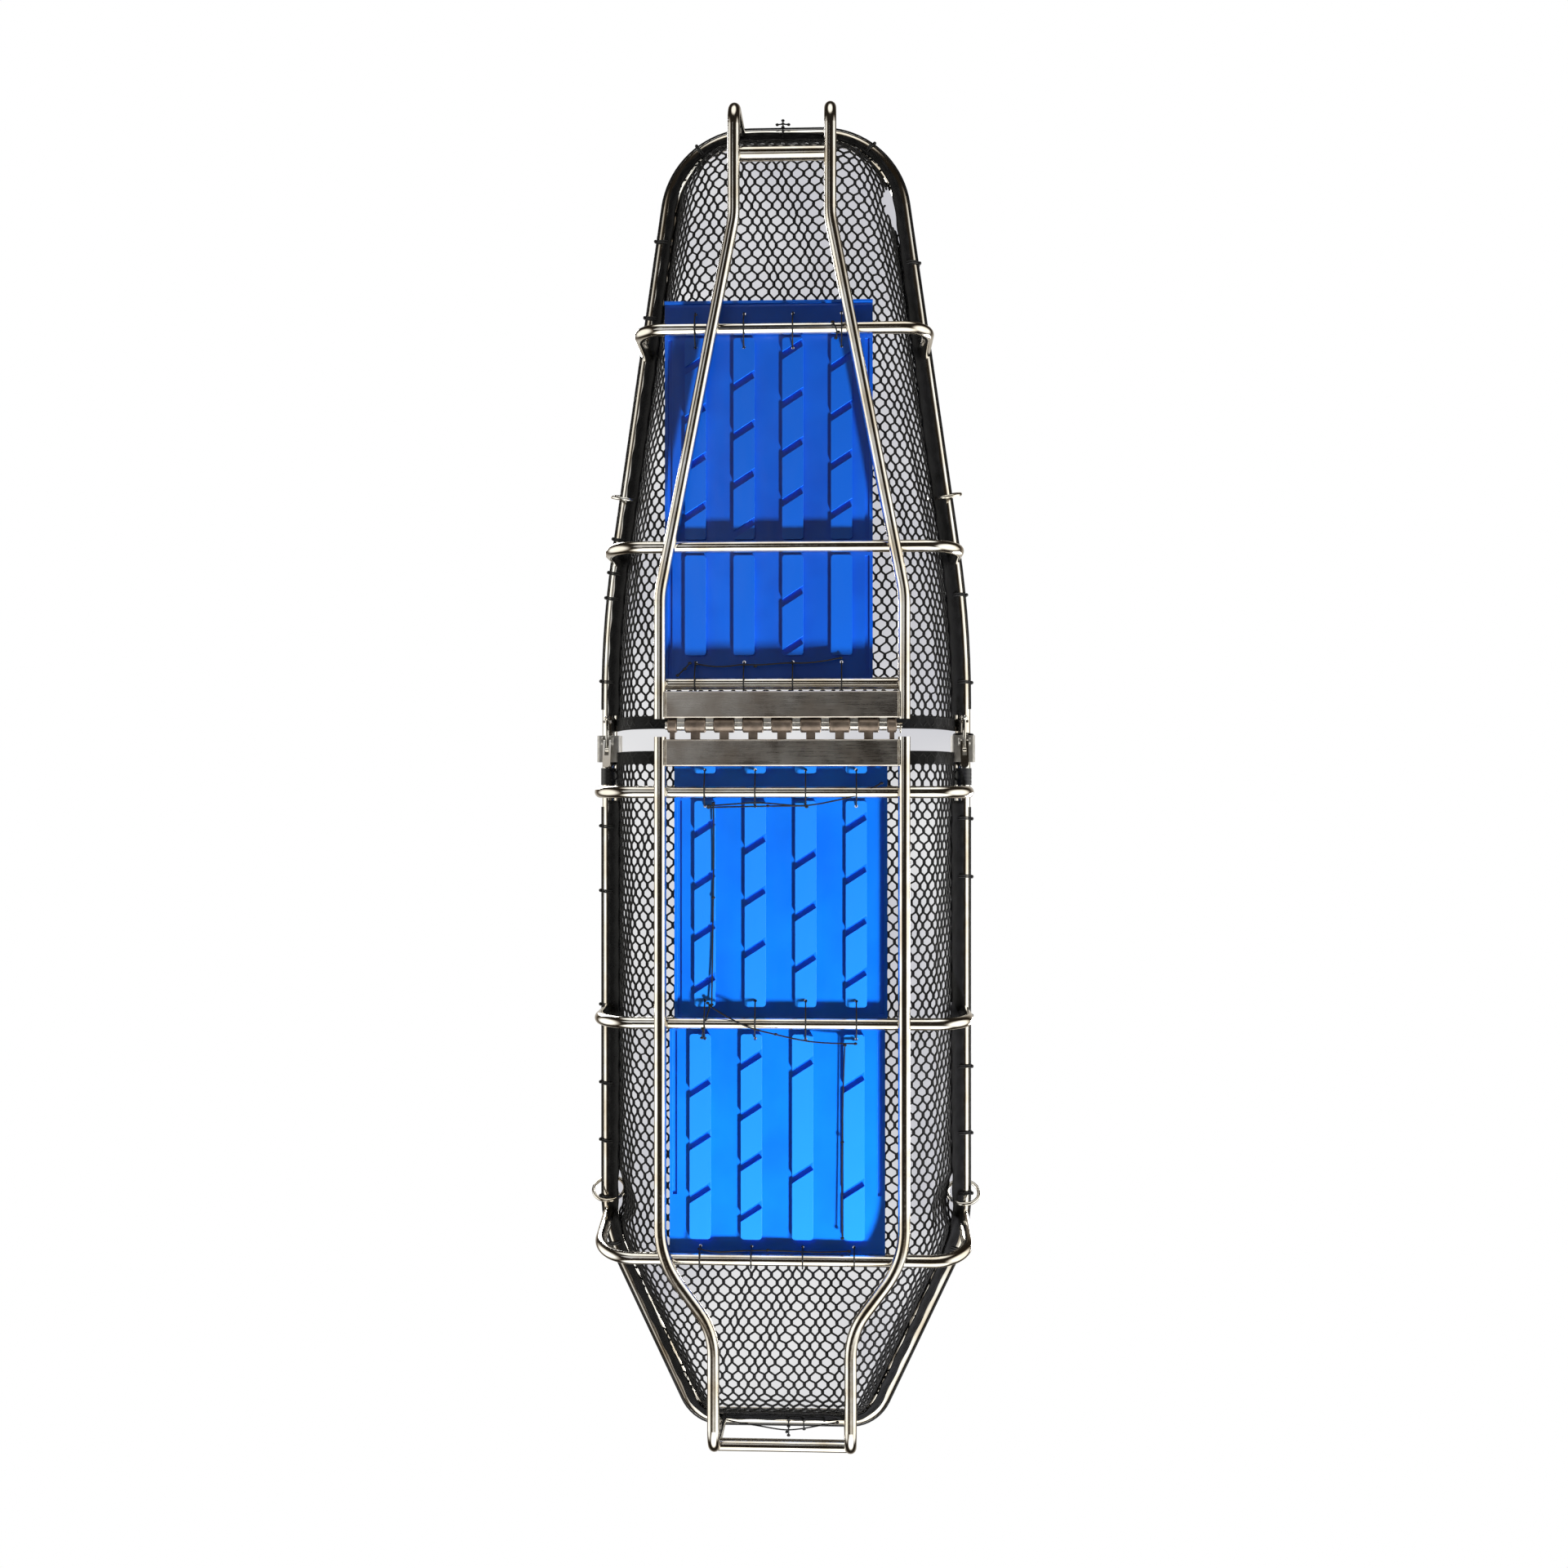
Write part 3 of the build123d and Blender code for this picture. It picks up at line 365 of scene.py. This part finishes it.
def cast_block(name, light, dark, rough):
    """Ground stainless block: a matt face with rub marks and stains."""
    material, tree, shader, place = new_finish(name, Metallic=1.0)
    two_tone(tree, shader, span(tree, blotches(tree, place, 13, 4), 0, 1, 0.35, 0.65), light, dark)
    rubbed = span(tree, blotches(tree, place, 5, 4), rough - 0.06, rough + 0.08)
    tree.links.new(rubbed, shader.inputs["Roughness"])
    relief(tree, shader, blotches(tree, place, 2.4, 3), 0.06)
    return material


def weld_metal():
    """Stainless weld beads: rippled, and straw to brown where the heat tinted them."""
    material, tree, shader, place = new_finish("tig_weld_bead", Metallic=1.0, Roughness=0.38)
    two_tone(tree, shader, span(tree, blotches(tree, place, 7), 0, 1), "#9A8F80", "#C9C4BA")
    relief(tree, shader, blotches(tree, place, 1.6, 2), 0.5)
    return material


def moulded_polyethylene(name, light, deep, strip_painted_light):
    """Thermoformed polyethylene sheet: waxy and scuffed, with painted light making it paler where it stands
    out as strips.
    """
    material, tree, shader, place = new_finish(name, IOR=1.5)
    sheet = add(tree, "Mix", {"Factor": span(tree, blotches(tree, place, 120, 3), 0, 1)}, data_type="RGBA")
    sheet.inputs[6].default_value, sheet.inputs[7].default_value = linear(light), linear(deep)
    # Painted light: the strips that stand out are painted paler than the sheet between them.
    height = add(tree, "SeparateXYZ", {"Vector": place}).outputs["Z"]
    starts, full = (STRIP_FACE_Z + above for above in STRIP_PAINTED_LIGHT)
    raised_painted_light = add(tree, "MapRange", {"Value": height, "From Min": starts, "From Max": full})
    shade = add(tree, "Mix", {"Factor": raised_painted_light.outputs[0], 6: sheet.outputs[2], 7: linear(strip_painted_light)},
                data_type="RGBA")
    tree.links.new(shade.outputs[2], shader.inputs["Base Color"])
    scuffs = blotches(tree, place, 14, 6, (1, 0.25, 1))
    tree.links.new(span(tree, scuffs, 0.3, 0.46), shader.inputs["Roughness"])
    relief(tree, shader, blotches(tree, place, 90, 2), 2.0, 0.35)
    return material


def painted_highlight_polyethylene():
    """Pale blue on the boards' eased edges: a painted highlight where the edges catch the light."""
    material, tree, shader, place = new_finish("painted_highlight_polyethylene_edge", Roughness=0.4, IOR=1.5)
    two_tone(tree, shader, span(tree, blotches(tree, place, 9, 4), 0, 1), "#3FA2FF", "#7CC4FF")
    return material


def polyester_net():
    """Knotless polyester netting, dipped black: twisted strands with a dull shine."""
    material, tree, shader, place = new_finish("black_polyester_net", Roughness=0.55, IOR=1.4)
    two_tone(tree, shader, span(tree, blotches(tree, place, 30), 0, 1), "#060607", "#101012")
    relief(tree, shader, blotches(tree, place, 1.2, 2), 0.4)
    return material


def woven_webbing():
    """Black polyester webbing: ribs across the band, drawn coarse enough to show."""
    material, tree, shader, place = new_finish("black_woven_webbing", Roughness=0.7, IOR=1.35)
    two_tone(tree, shader, span(tree, blotches(tree, place, 18), 0, 1), "#060607", "#121214")
    weave = {"Vector": place, "Scale": 0.16, "Distortion": 0.4}
    ribs = add(tree, "TexWave", weave, bands_direction="DIAGONAL")
    relief(tree, shader, ribs.outputs["Fac"], 0.5, 0.6)
    return material


def braided_cord():
    """Thin braided nylon cord, black, with the braid's small bumps."""
    material, tree, shader, place = new_finish("black_braided_cord", Roughness=0.5, IOR=1.53)
    two_tone(tree, shader, span(tree, blotches(tree, place, 12), 0, 1), "#0A0A0B", "#1F1F21")
    braid = add(tree, "TexVoronoi", {"Vector": place, "Scale": 0.8})
    relief(tree, shader, braid.outputs["Distance"], 0.3, 0.7)
    return material


def vinyl_tape():
    """Black vinyl tape, wound in turns, with a soft shine."""
    material, tree, shader, place = new_finish("black_vinyl_tape", Roughness=0.4, IOR=1.52)
    two_tone(tree, shader, span(tree, blotches(tree, place, 16), 0, 1), "#111113", "#1E1E20")
    wound = {"Vector": place, "Scale": 0.05, "Distortion": 1.0}
    turns = add(tree, "TexWave", wound, bands_direction="Y")
    relief(tree, shader, turns.outputs["Fac"], 0.5, 0.5)
    return material


# Lines and the netting's surface


def rounded(points, radii, step):
    """A line of short steps through straight runs and tangent arcs, in plan."""
    points = [Vector(p) for p in points]
    line = [points[0]]
    for before, corner, after, radius in zip(points, points[1:], points[2:], radii):
        back, on = (before - corner).normalized(), (after - corner).normalized()
        half = back.angle(on) / 2
        run = radius / math.tan(half)
        centre = corner + (back + on).normalized() * radius / math.sin(half)
        first, last = corner + back * run - centre, corner + on * run - centre
        start, turn = math.atan2(first.y, first.x), -first.angle_signed(last)
        count = max(3, int(abs(turn) * radius / step))
        angles = [start + turn * i / count for i in range(count + 1)]
        line += [centre + radius * Vector((math.cos(a), math.sin(a))) for a in angles]
    line.append(points[-1])
    dense = []
    for a, b in zip(line, line[1:]):
        count = max(1, round((b - a).length / step))
        dense += [a.lerp(b, i / count) for i in range(count)]
    return np.array(dense + [line[-1]])


def rail_line(end, step=4.0):
    """The rail's centre line of one half in plan, from the left side round to the right."""
    rail = RAIL_LINE[end]
    sign = 1 if end == "head" else -1
    slope = math.tan(math.radians(rail["taper"]))
    tip = RAIL_X - (RAIL_END - abs(rail["bend"])) * slope
    points = [(RAIL_X, rail["start"]), (RAIL_X, rail["bend"]), (tip, sign * RAIL_END)]
    points = [(-x, y) for x, y in points] + points[::-1]
    first, second = rail["radii"]
    return rounded(points, (first, second, second, first), step)


def outwards(line):
    """Unit vectors in plan that point out of the basket along a rail's line."""
    ahead = np.gradient(line, axis=0)
    ahead /= np.linalg.norm(ahead, axis=1)[:, None]
    normal = np.column_stack([ahead[:, 1], -ahead[:, 0]])
    middle = line[len(line) // 2]
    if normal[len(line) // 2][1] * middle[1] < 0:
        normal = -normal
    return normal


def net_height(inside):
    """How high the netting lies at a distance inside the rail's line, with its creases eased."""
    half = round(CREASE / CREASE_STEP)
    places = np.arange(0, NET_DEPTH[-1][0] + CREASE_STEP / 2, CREASE_STEP)
    heights = np.interp(places, *zip(*NET_DEPTH))
    window = np.hanning(2 * half + 1)
    padded = np.pad(heights, half, mode="edge")
    eased = np.convolve(padded, window / window.sum(), mode="valid")
    eased = np.where(places < NET_EDGE + 1, heights, eased)
    return np.interp(inside, places, eased)


class Netting:
    """The netting of one half as a flat sheet laid into the basket: across, along -> a place."""

    def __init__(self, end):
        sign = 1 if end == "head" else -1
        line = rail_line(end, step=3.0)
        first = np.array([[RAIL_X, y] for y in np.arange(SPLIT[end] - sign * RUN_ON, line[0][1], sign * 3.0)])
        line = np.vstack([line, first, first * (-1, 1)])
        self.ys = np.linspace(SPLIT[end], sign * (RAIL_END - NET_END), NET_ROWS)
        xs = np.linspace(0, RAIL_X, NET_ACROSS)
        self.rows = []
        for y in self.ys:
            gap = np.sqrt(((line[None, :, 0] - xs[:, None]) ** 2 + (line[None, :, 1] - y) ** 2).min(axis=1))
            outside = np.nonzero(gap < NET_EDGE)[0]
            edge = 0
            if len(outside) and outside[0]:
                near = slice(outside[0] - 1, outside[0] + 1)
                edge = np.interp(NET_EDGE, gap[near][::-1], xs[near][::-1])
            across = np.linspace(0, max(edge, 1.0), NET_KEPT)
            depth = net_height(np.interp(across, xs, gap))
            length = np.concatenate([[0], np.cumsum(np.hypot(np.diff(across), np.diff(depth)))])
            self.rows.append((length, across, depth))
        middle = np.array([row[2][0] for row in self.rows])
        self.along = np.concatenate([[0], np.cumsum(np.hypot(np.diff(self.ys), np.diff(middle)))])

    def place(self, across, along):
        """The point of the sheet, and how far it lies beyond the netting's edge."""
        spot = np.interp(along, self.along, np.arange(len(self.ys)))
        low = min(int(spot), len(self.ys) - 2)
        share = spot - low
        found = []
        for length, xs, depth in self.rows[low:low + 2]:
            reach = min(abs(across), length[-1])
            found.append((np.interp(reach, length, xs), np.interp(reach, length, depth), length[-1]))
        x, z, edge = (1 - share) * np.array(found[0]) + share * np.array(found[1])
        y = np.interp(along, self.along, self.ys)
        return (math.copysign(x, across), y, z), abs(across) - edge


def behind_ring(point):
    """A point of the netting, drawn inwards where a head ring lies against it."""
    x, y, z = point
    near = math.hypot(abs(x) - RING_SLACK[0], y - RING_SLACK[1]) / RING_SLACK[2]
    drawn = RING_SLACK[3] * max(0.0, 1 - near ** 2)
    return x - math.copysign(drawn, x), y, z


def net_strands(end, netting, first, last):
    """Zigzag strands of some columns, which lie against their neighbours for a short way at each knot."""
    chance = np.random.RandomState(7 if end == "head" else 11)
    column, half = CELL_WIDTH / 2, CELL_HEIGHT / 2
    joints = int(netting.along[-1] / half) + 1
    shift = chance.normal(0, KNOT_SHIFT, (NET_COLUMNS * 2 + 3, joints + 2, 2))
    lines = []
    for k in range(first, last):
        line = []
        for j in range(joints):
            edge = k if (j + k) % 2 == 0 else k + 1
            lean = 1 if edge == k else -1
            aside, onward = shift[edge + NET_COLUMNS][j]
            for half_knot in (-1, 1):
                across = edge * column + lean * STRAND_GAP + aside
                along = j * half + half_knot * KNOT_LENGTH / 2 + onward
                across += sum(far * math.sin(along / run + edge * later) for far, run, later in SWAYS)
                point, beyond = netting.place(across, max(along, 0.0))
                point = behind_ring(point)
                torn = math.hypot((point[0] - TEAR[0]) / TEAR[2], (point[1] - TEAR[1]) / TEAR[3]) < 1
                if beyond > 0 or torn:
                    if len(line) > 1:
                        lines.append(line)
                    line = []
                else:
                    line.append(point)
        if len(line) > 1:
            lines.append(line)
    return lines


def make_net(end, net_finish):
    """The diamond netting of one half, in place of the part's plain shell."""
    netting = Netting(end)
    for name, first, last in (("left", -NET_COLUMNS, 0), ("right", 0, NET_COLUMNS)):
        lines = net_strands(end, netting, first, last)
        piece = cords(f"{end}_netting_{name}", lines, STRAND_R, net_finish)
        ride(piece, f"{end}_half")
        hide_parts(f"{end}_net")
    return netting


def hem_band(end, netting, webbing):
    """The webbing sewn over the netting's edge at the fold."""
    across, along = 60, 6
    shape = bmesh.new()
    bmesh.ops.create_grid(shape, x_segments=across, y_segments=along, size=1.0)
    for vert in shape.verts:
        u, v = vert.co.x, (vert.co.y + 1) / 2
        q = v * HEM_WIDTH
        reach = netting.rows[0][0][-1] - 1.0
        x, y, z = netting.place(u * reach, q)[0]
        z += HEM_RIPPLE * math.sin(u * 41) * math.sin(v * 3)
        vert.co = Vector((x, y, z)) * MM
    bmesh.ops.recalc_face_normals(shape, faces=shape.faces)
    band = put(f"{end}_fold_hem", shape, webbing, smooth=True)
    thick = band.modifiers.new("thickness", "SOLIDIFY")
    thick.thickness, thick.offset = HEM_T * MM, 0.0
    ride(band, f"{end}_half")
    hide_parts(f"{end}_hem")
    edges = []
    for q in (0.8, HEM_WIDTH - 0.8):
        reach = netting.rows[0][0][-1] - 2
        edges.append([netting.place(u * reach, q)[0] for u in np.linspace(-1, 1, 70)])
    piping = cords(f"{end}_hem_piping", edges, PIPING_R, webbing, smooth=True)
    ride(piping, f"{end}_half")


def rail_hem(end, webbing):
    """The webbing edge of the netting, folded round the rail's lower inner side."""
    sign = 1 if end == "head" else -1
    line = rail_line(end, step=7.0)
    line = line[[i for i, p in enumerate(line) if sign * (p[1] - SPLIT[end]) > HEM_START[end]]]
    out = outwards(line)
    shape = bmesh.new()
    bmesh.ops.create_grid(shape, x_segments=len(line) - 1, y_segments=len(HEM_FOLD) - 1, size=1.0)
    for vert in shape.verts:
        i = round((vert.co.x + 1) / 2 * (len(line) - 1))
        j = round((vert.co.y + 1) / 2 * (len(HEM_FOLD) - 1))
        share = np.interp(abs(line[i][1]), HEM_NARROWS, (1.0, HEM_NARROWED))
        inside = HEM_FOLD[j][0] * share + HEM_RIPPLE * math.sin(i * 0.9 + j)
        drop = HEM_FOLD[0][1] + (HEM_FOLD[j][1] - HEM_FOLD[0][1]) * share
        x, y = line[i] - out[i] * inside
        vert.co = Vector((x, y, RAIL_Z + drop + RAIL_HEM_SAG * math.sin(i * 1.7 + 2 * j))) * MM
    bmesh.ops.recalc_face_normals(shape, faces=shape.faces)
    band = put(f"{end}_rail_hem", shape, webbing, smooth=True)
    thick = band.modifiers.new("thickness", "SOLIDIFY")
    thick.thickness, thick.offset = RAIL_HEM_T * MM, 0.0
    ride(band, f"{end}_half")


def hitches(cord_finish):
    """Double turns of cord round the rail and its hem, each with a knot on the outer side."""
    for end in ("head", "foot"):
        line = rail_line(end, step=2.0)
        out = outwards(line)
        sign = 1 if end == "head" else -1
        rings, knots = [], bmesh.new()
        for name, side in (("left", -1), ("right", 1)):
            for y in HITCHES[name]:
                if y * sign < 0:
                    continue
                near = [i for i, p in enumerate(line) if p[0] * side > 0]
                i = min(near, key=lambda n: abs(line[n][1] - y))
                for turn in (-HITCH_SPREAD, HITCH_SPREAD):
                    rings.append(rail_turn(line[i], out[i], turn))
                place = line[i] + out[i] * HITCH_KNOT_OUT
                spot = Matrix.Translation(Vector((*place, RAIL_Z - HITCH_KNOT_DROP)) * MM)
                bmesh.ops.create_icosphere(knots, subdivisions=2, radius=HITCH_KNOT_R * MM, matrix=spot)
        turns = cords(f"{end}_rail_hitches", rings, HITCH_R, cord_finish, closed=True)
        ride(turns, f"{end}_half")
        ride(put(f"{end}_hitch_knots", knots, cord_finish, smooth=True), f"{end}_half")


def rail_turn(spot, out, lean):
    """One turn of cord round the rail, passing under the hem."""
    ahead = np.array([-out[1], out[0]])
    turn = []
    for step in range(HITCH_POINTS):
        angle = 2 * math.pi * step / HITCH_POINTS
        off = max(0.0, math.cos(angle - math.radians(HITCH_OFF_ANGLE)))
        reach = HITCH_REACH + HITCH_SLACK * off ** 2
        slant = lean + HITCH_SLANT * math.sin(angle)
        x, y = np.array(spot) + out * reach * math.cos(angle) + ahead * slant
        turn.append((x, y, RAIL_Z + reach * math.sin(angle)))
    return turn


def photo_spot(px, py, z):
    """The point at a height that the photograph shows at a pixel."""
    scale = PIXEL * (z - AIM[2] - EYE[2]) / -EYE[2]
    x = (px - PHOTO_MIDDLE[0] - PIXEL_LEAN * z) * scale
    y = (py - PHOTO_MIDDLE[1]) * scale + EYE[1]
    return x, y, z


def tie_cords(cord_finish):
    """The cords that run from tie to tie and along the boards, as the photograph shows them."""
    routes = {
        "head": [
            [(867, 987, 28), (895, 985, 26), (924, 982, 24), (955, 985, 26), (988, 988, 27),
             (1020, 981, 25), (1046, 976, 22), (1063, 968, 21), (1080, 959, 24)],
            [(867, 989, 29), (900, 988, 29), (940, 987, 29), (988, 987, 29)],
            [(873, 984, 28), (874, 1020, 30), (873, 1100, 30.5), (872, 1180, 30.5), (871, 1232, 27)],
            [(866, 1230, 27), (871, 1236, 24), (895, 1250, 18), (920, 1262, 16.5), (950, 1268, 20),
             (986, 1277, 26), (1015, 1279, 28), (1048, 1279, 28)],
            [(869, 1234, 26), (864, 1250, 17), (860, 1262, 22), (859, 1273, 28)],
            [(1035, 1281, 28), (1033, 1320, 30), (1032, 1400, 30.5), (1031, 1470, 30.5), (1032, 1518, 28)],
            [(856, 1533, 30), (870, 1538, 24), (900, 1535, 26), (940, 1534, 27), (980, 1535, 27),
             (1010, 1536, 27), (1040, 1534, 29)],
            [(884, 1742, 160), (905, 1747, 158), (935, 1750, 157), (964, 1757, 157), (992, 1751, 157),
             (1026, 1744, 160)],
            [(884, 1741, 158), (920, 1741, 158), (966, 1741, 158), (1010, 1742, 158)],
            [(965, 1728, 165), (966, 1736, 159), (966, 1750, 159), (966, 1761, 160)],
            [(985, 1733, 162), (984, 1742, 158), (985, 1753, 160)],
        ],
        "foot": [
            [(852, 812, 28), (880, 818, 26), (908, 811, 27), (925, 815, 27), (972, 809, 28), (990, 813, 27),
             (1030, 805, 29)],
            [(844, 811, 28), (838, 818, 26), (829, 826, 24)],
            [(1020, 392, 22), (1024, 398, 16), (1027, 405, 22), (1024, 412, 27)],
            [(850, 397, 18), (880, 398, 17), (907, 397, 17), (940, 398, 17), (975, 397, 17),
             (1020, 396, 17)],
            [(905, 160, 160), (930, 158, 158), (957, 160, 158), (985, 159, 158), (1008, 162, 160)],
            [(958, 169, 162), (959, 160, 157), (959, 152, 160), (959, 144, 168)],
            [(952, 149, 166), (959, 148, 165), (966, 149, 166)],
        ],
    }
    for end, lines in routes.items():
        paths = [[photo_spot(*spot) for spot in line] for line in lines]
        ties = cords(f"{end}_tie_cords", paths, TIE_R, cord_finish, smooth=True)
        ride(ties, f"{end}_half")
        knots = bmesh.new()
        for path in paths:
            for spot in (path[0], path[len(path) // 2], path[-1]):
                place = Matrix.Translation(Vector(spot) * MM) @ Matrix.Diagonal((1.2, 0.9, 0.8, 1.0))
                bmesh.ops.create_icosphere(knots, subdivisions=2, radius=TIE_KNOT_R * MM, matrix=place)
        ride(put(f"{end}_tie_knots", knots, cord_finish, smooth=True), f"{end}_half")


def bar_welds(weld_finish):
    """Rippled beads where the hinge bars meet the runners."""
    for end, (low, high) in WELD_RUNS.items():
        beads = []
        for side in (-1, 1):
            bead = []
            for n, y in enumerate(np.arange(low, high, WELD_RIPPLE)):
                aside, down = (far * (n % 2) for far in WELD_SWING)
                bead.append((side * (WELD_X + aside), y, WELD_Z + down))
            beads.append(bead)
        welds = cords(f"{end}_bar_welds", beads, WELD_R, weld_finish, sides=3)
        ride(welds, f"{end}_half")


def softened(node_name, body, finish, edge_highlight_finish):
    """A copy of a board with its sharp edges eased, as moulding and wear leave them, and a painted highlight
    on the eased edges.
    """
    source = frame["nodes"][node_name]
    shape = bmesh.new()
    shape.from_mesh(source.data)
    bmesh.ops.remove_doubles(shape, verts=shape.verts, dist=MERGE * MM)
    made = put(node_name + "_eased", shape, finish)
    ease = made.modifiers.new("eased_edges", "BEVEL")
    ease.width, ease.segments, ease.limit_method = EASED_EDGE * MM, 2, "ANGLE"
    ease.angle_limit = math.radians(SHARP_ANGLE)
    # Painted highlight: the eased edges take the pale blue finish.
    made.data.materials.append(edge_highlight_finish)
    ease.material = 1
    ride(made, body)
    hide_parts(node_name)


# The scene

place_camera()
studio_world()
key = softbox("key_low_right", (1230, 2450, -1230), (0, 0, 40), (260, 260), 235)
key.visible_glossy = False
softbox("fill_below", (-900, -900, -2600), (0, 0, 100), (1800, 1800), 6)
softbox("key_above", (-1500, -1300, 2600), (0, 0, 100), (1600, 1600), 90)
softbox("fill_above", (1800, 900, 2200), (0, 0, 100), (1200, 1200), 45)

floor_corners = [(-FLOOR, -FLOOR), (FLOOR, -FLOOR), (FLOOR, FLOOR), (-FLOOR, FLOOR)]
stage_sheet("floor", floor_corners, FLOOR_Z, "#F4F4F3", "#EEEEED", False)
basket_line = np.vstack([rail_line("head"), rail_line("foot")[::-1]])
# Painted shade: the ground seen through the netting glows grey, darker in patches, for the shade the basket
# casts on it.
stage_sheet("painted_shade_ground_behind_basket", basket_line, GROUND_Z, "#E6E6E7", "#C9C9CF", True)

TUBE = polished_tube()
BAR = satin_plate()
WELD = weld_metal()
# The last colour of each board finish is the painted light on its raised strips.
BOARD = moulded_polyethylene("blue_polyethylene_board", "#0A76EC", "#0666DE", "#1E82EE")
# Painted shade: the foot board is the same blue sheet as the others, given darker colours for the shade that
# falls on it.
SHADED_FOOT_BOARD = moulded_polyethylene("painted_shade_foot_board_polyethylene", "#0A64E0", "#0852C8", "#0C66DE")
EDGE_HIGHLIGHT = painted_highlight_polyethylene()
NET = polyester_net()
WEBBING = woven_webbing()
CORD = braided_cord()
TAPE = vinyl_tape()

SLOT_FINISH = {"polished_stainless": TUBE, "satin_stainless": BAR, "blue_polyethylene": BOARD,
               "black_netting": NET, "black_webbing": WEBBING, "black_cord": CORD, "black_tape": TAPE}
for part in frame["record"]["subparts"]:
    node = frame["nodes"][part["node"]]
    for socket in node.material_slots:
        socket.material = SLOT_FINISH[part["material_slot"]]

BLOCK_FINISH = {"hinge_barrels": cast_block("brown_tinted_hinge_block", "#A39488", "#81746A", 0.5),
                "hinge_lugs": cast_block("ground_hinge_lug", "#F0EEE9", "#CFCBC4", 0.3)}
SOCKET_BLOCK = cast_block("blasted_socket_block", "#CBC9C5", "#B1AEA9", 0.5)
for side in ("left", "right"):
    BLOCK_FINISH["rail_socket_" + side] = BLOCK_FINISH["latch_bracket_" + side] = SOCKET_BLOCK
for name, finish in BLOCK_FINISH.items():
    for socket in frame["nodes"][name].material_slots:
        socket.material = finish

for half in ("head", "foot"):
    netting = make_net(half, NET)
    hem_band(half, netting, WEBBING)
    rail_hem(half, WEBBING)
hitches(CORD)
tie_cords(CORD)
bar_welds(WELD)
softened("foot_board", "foot_half", SHADED_FOOT_BOARD, EDGE_HIGHLIGHT)
softened("back_board", "head_half", BOARD, EDGE_HIGHLIGHT)
softened("head_board", "head_half", BOARD, EDGE_HIGHLIGHT)
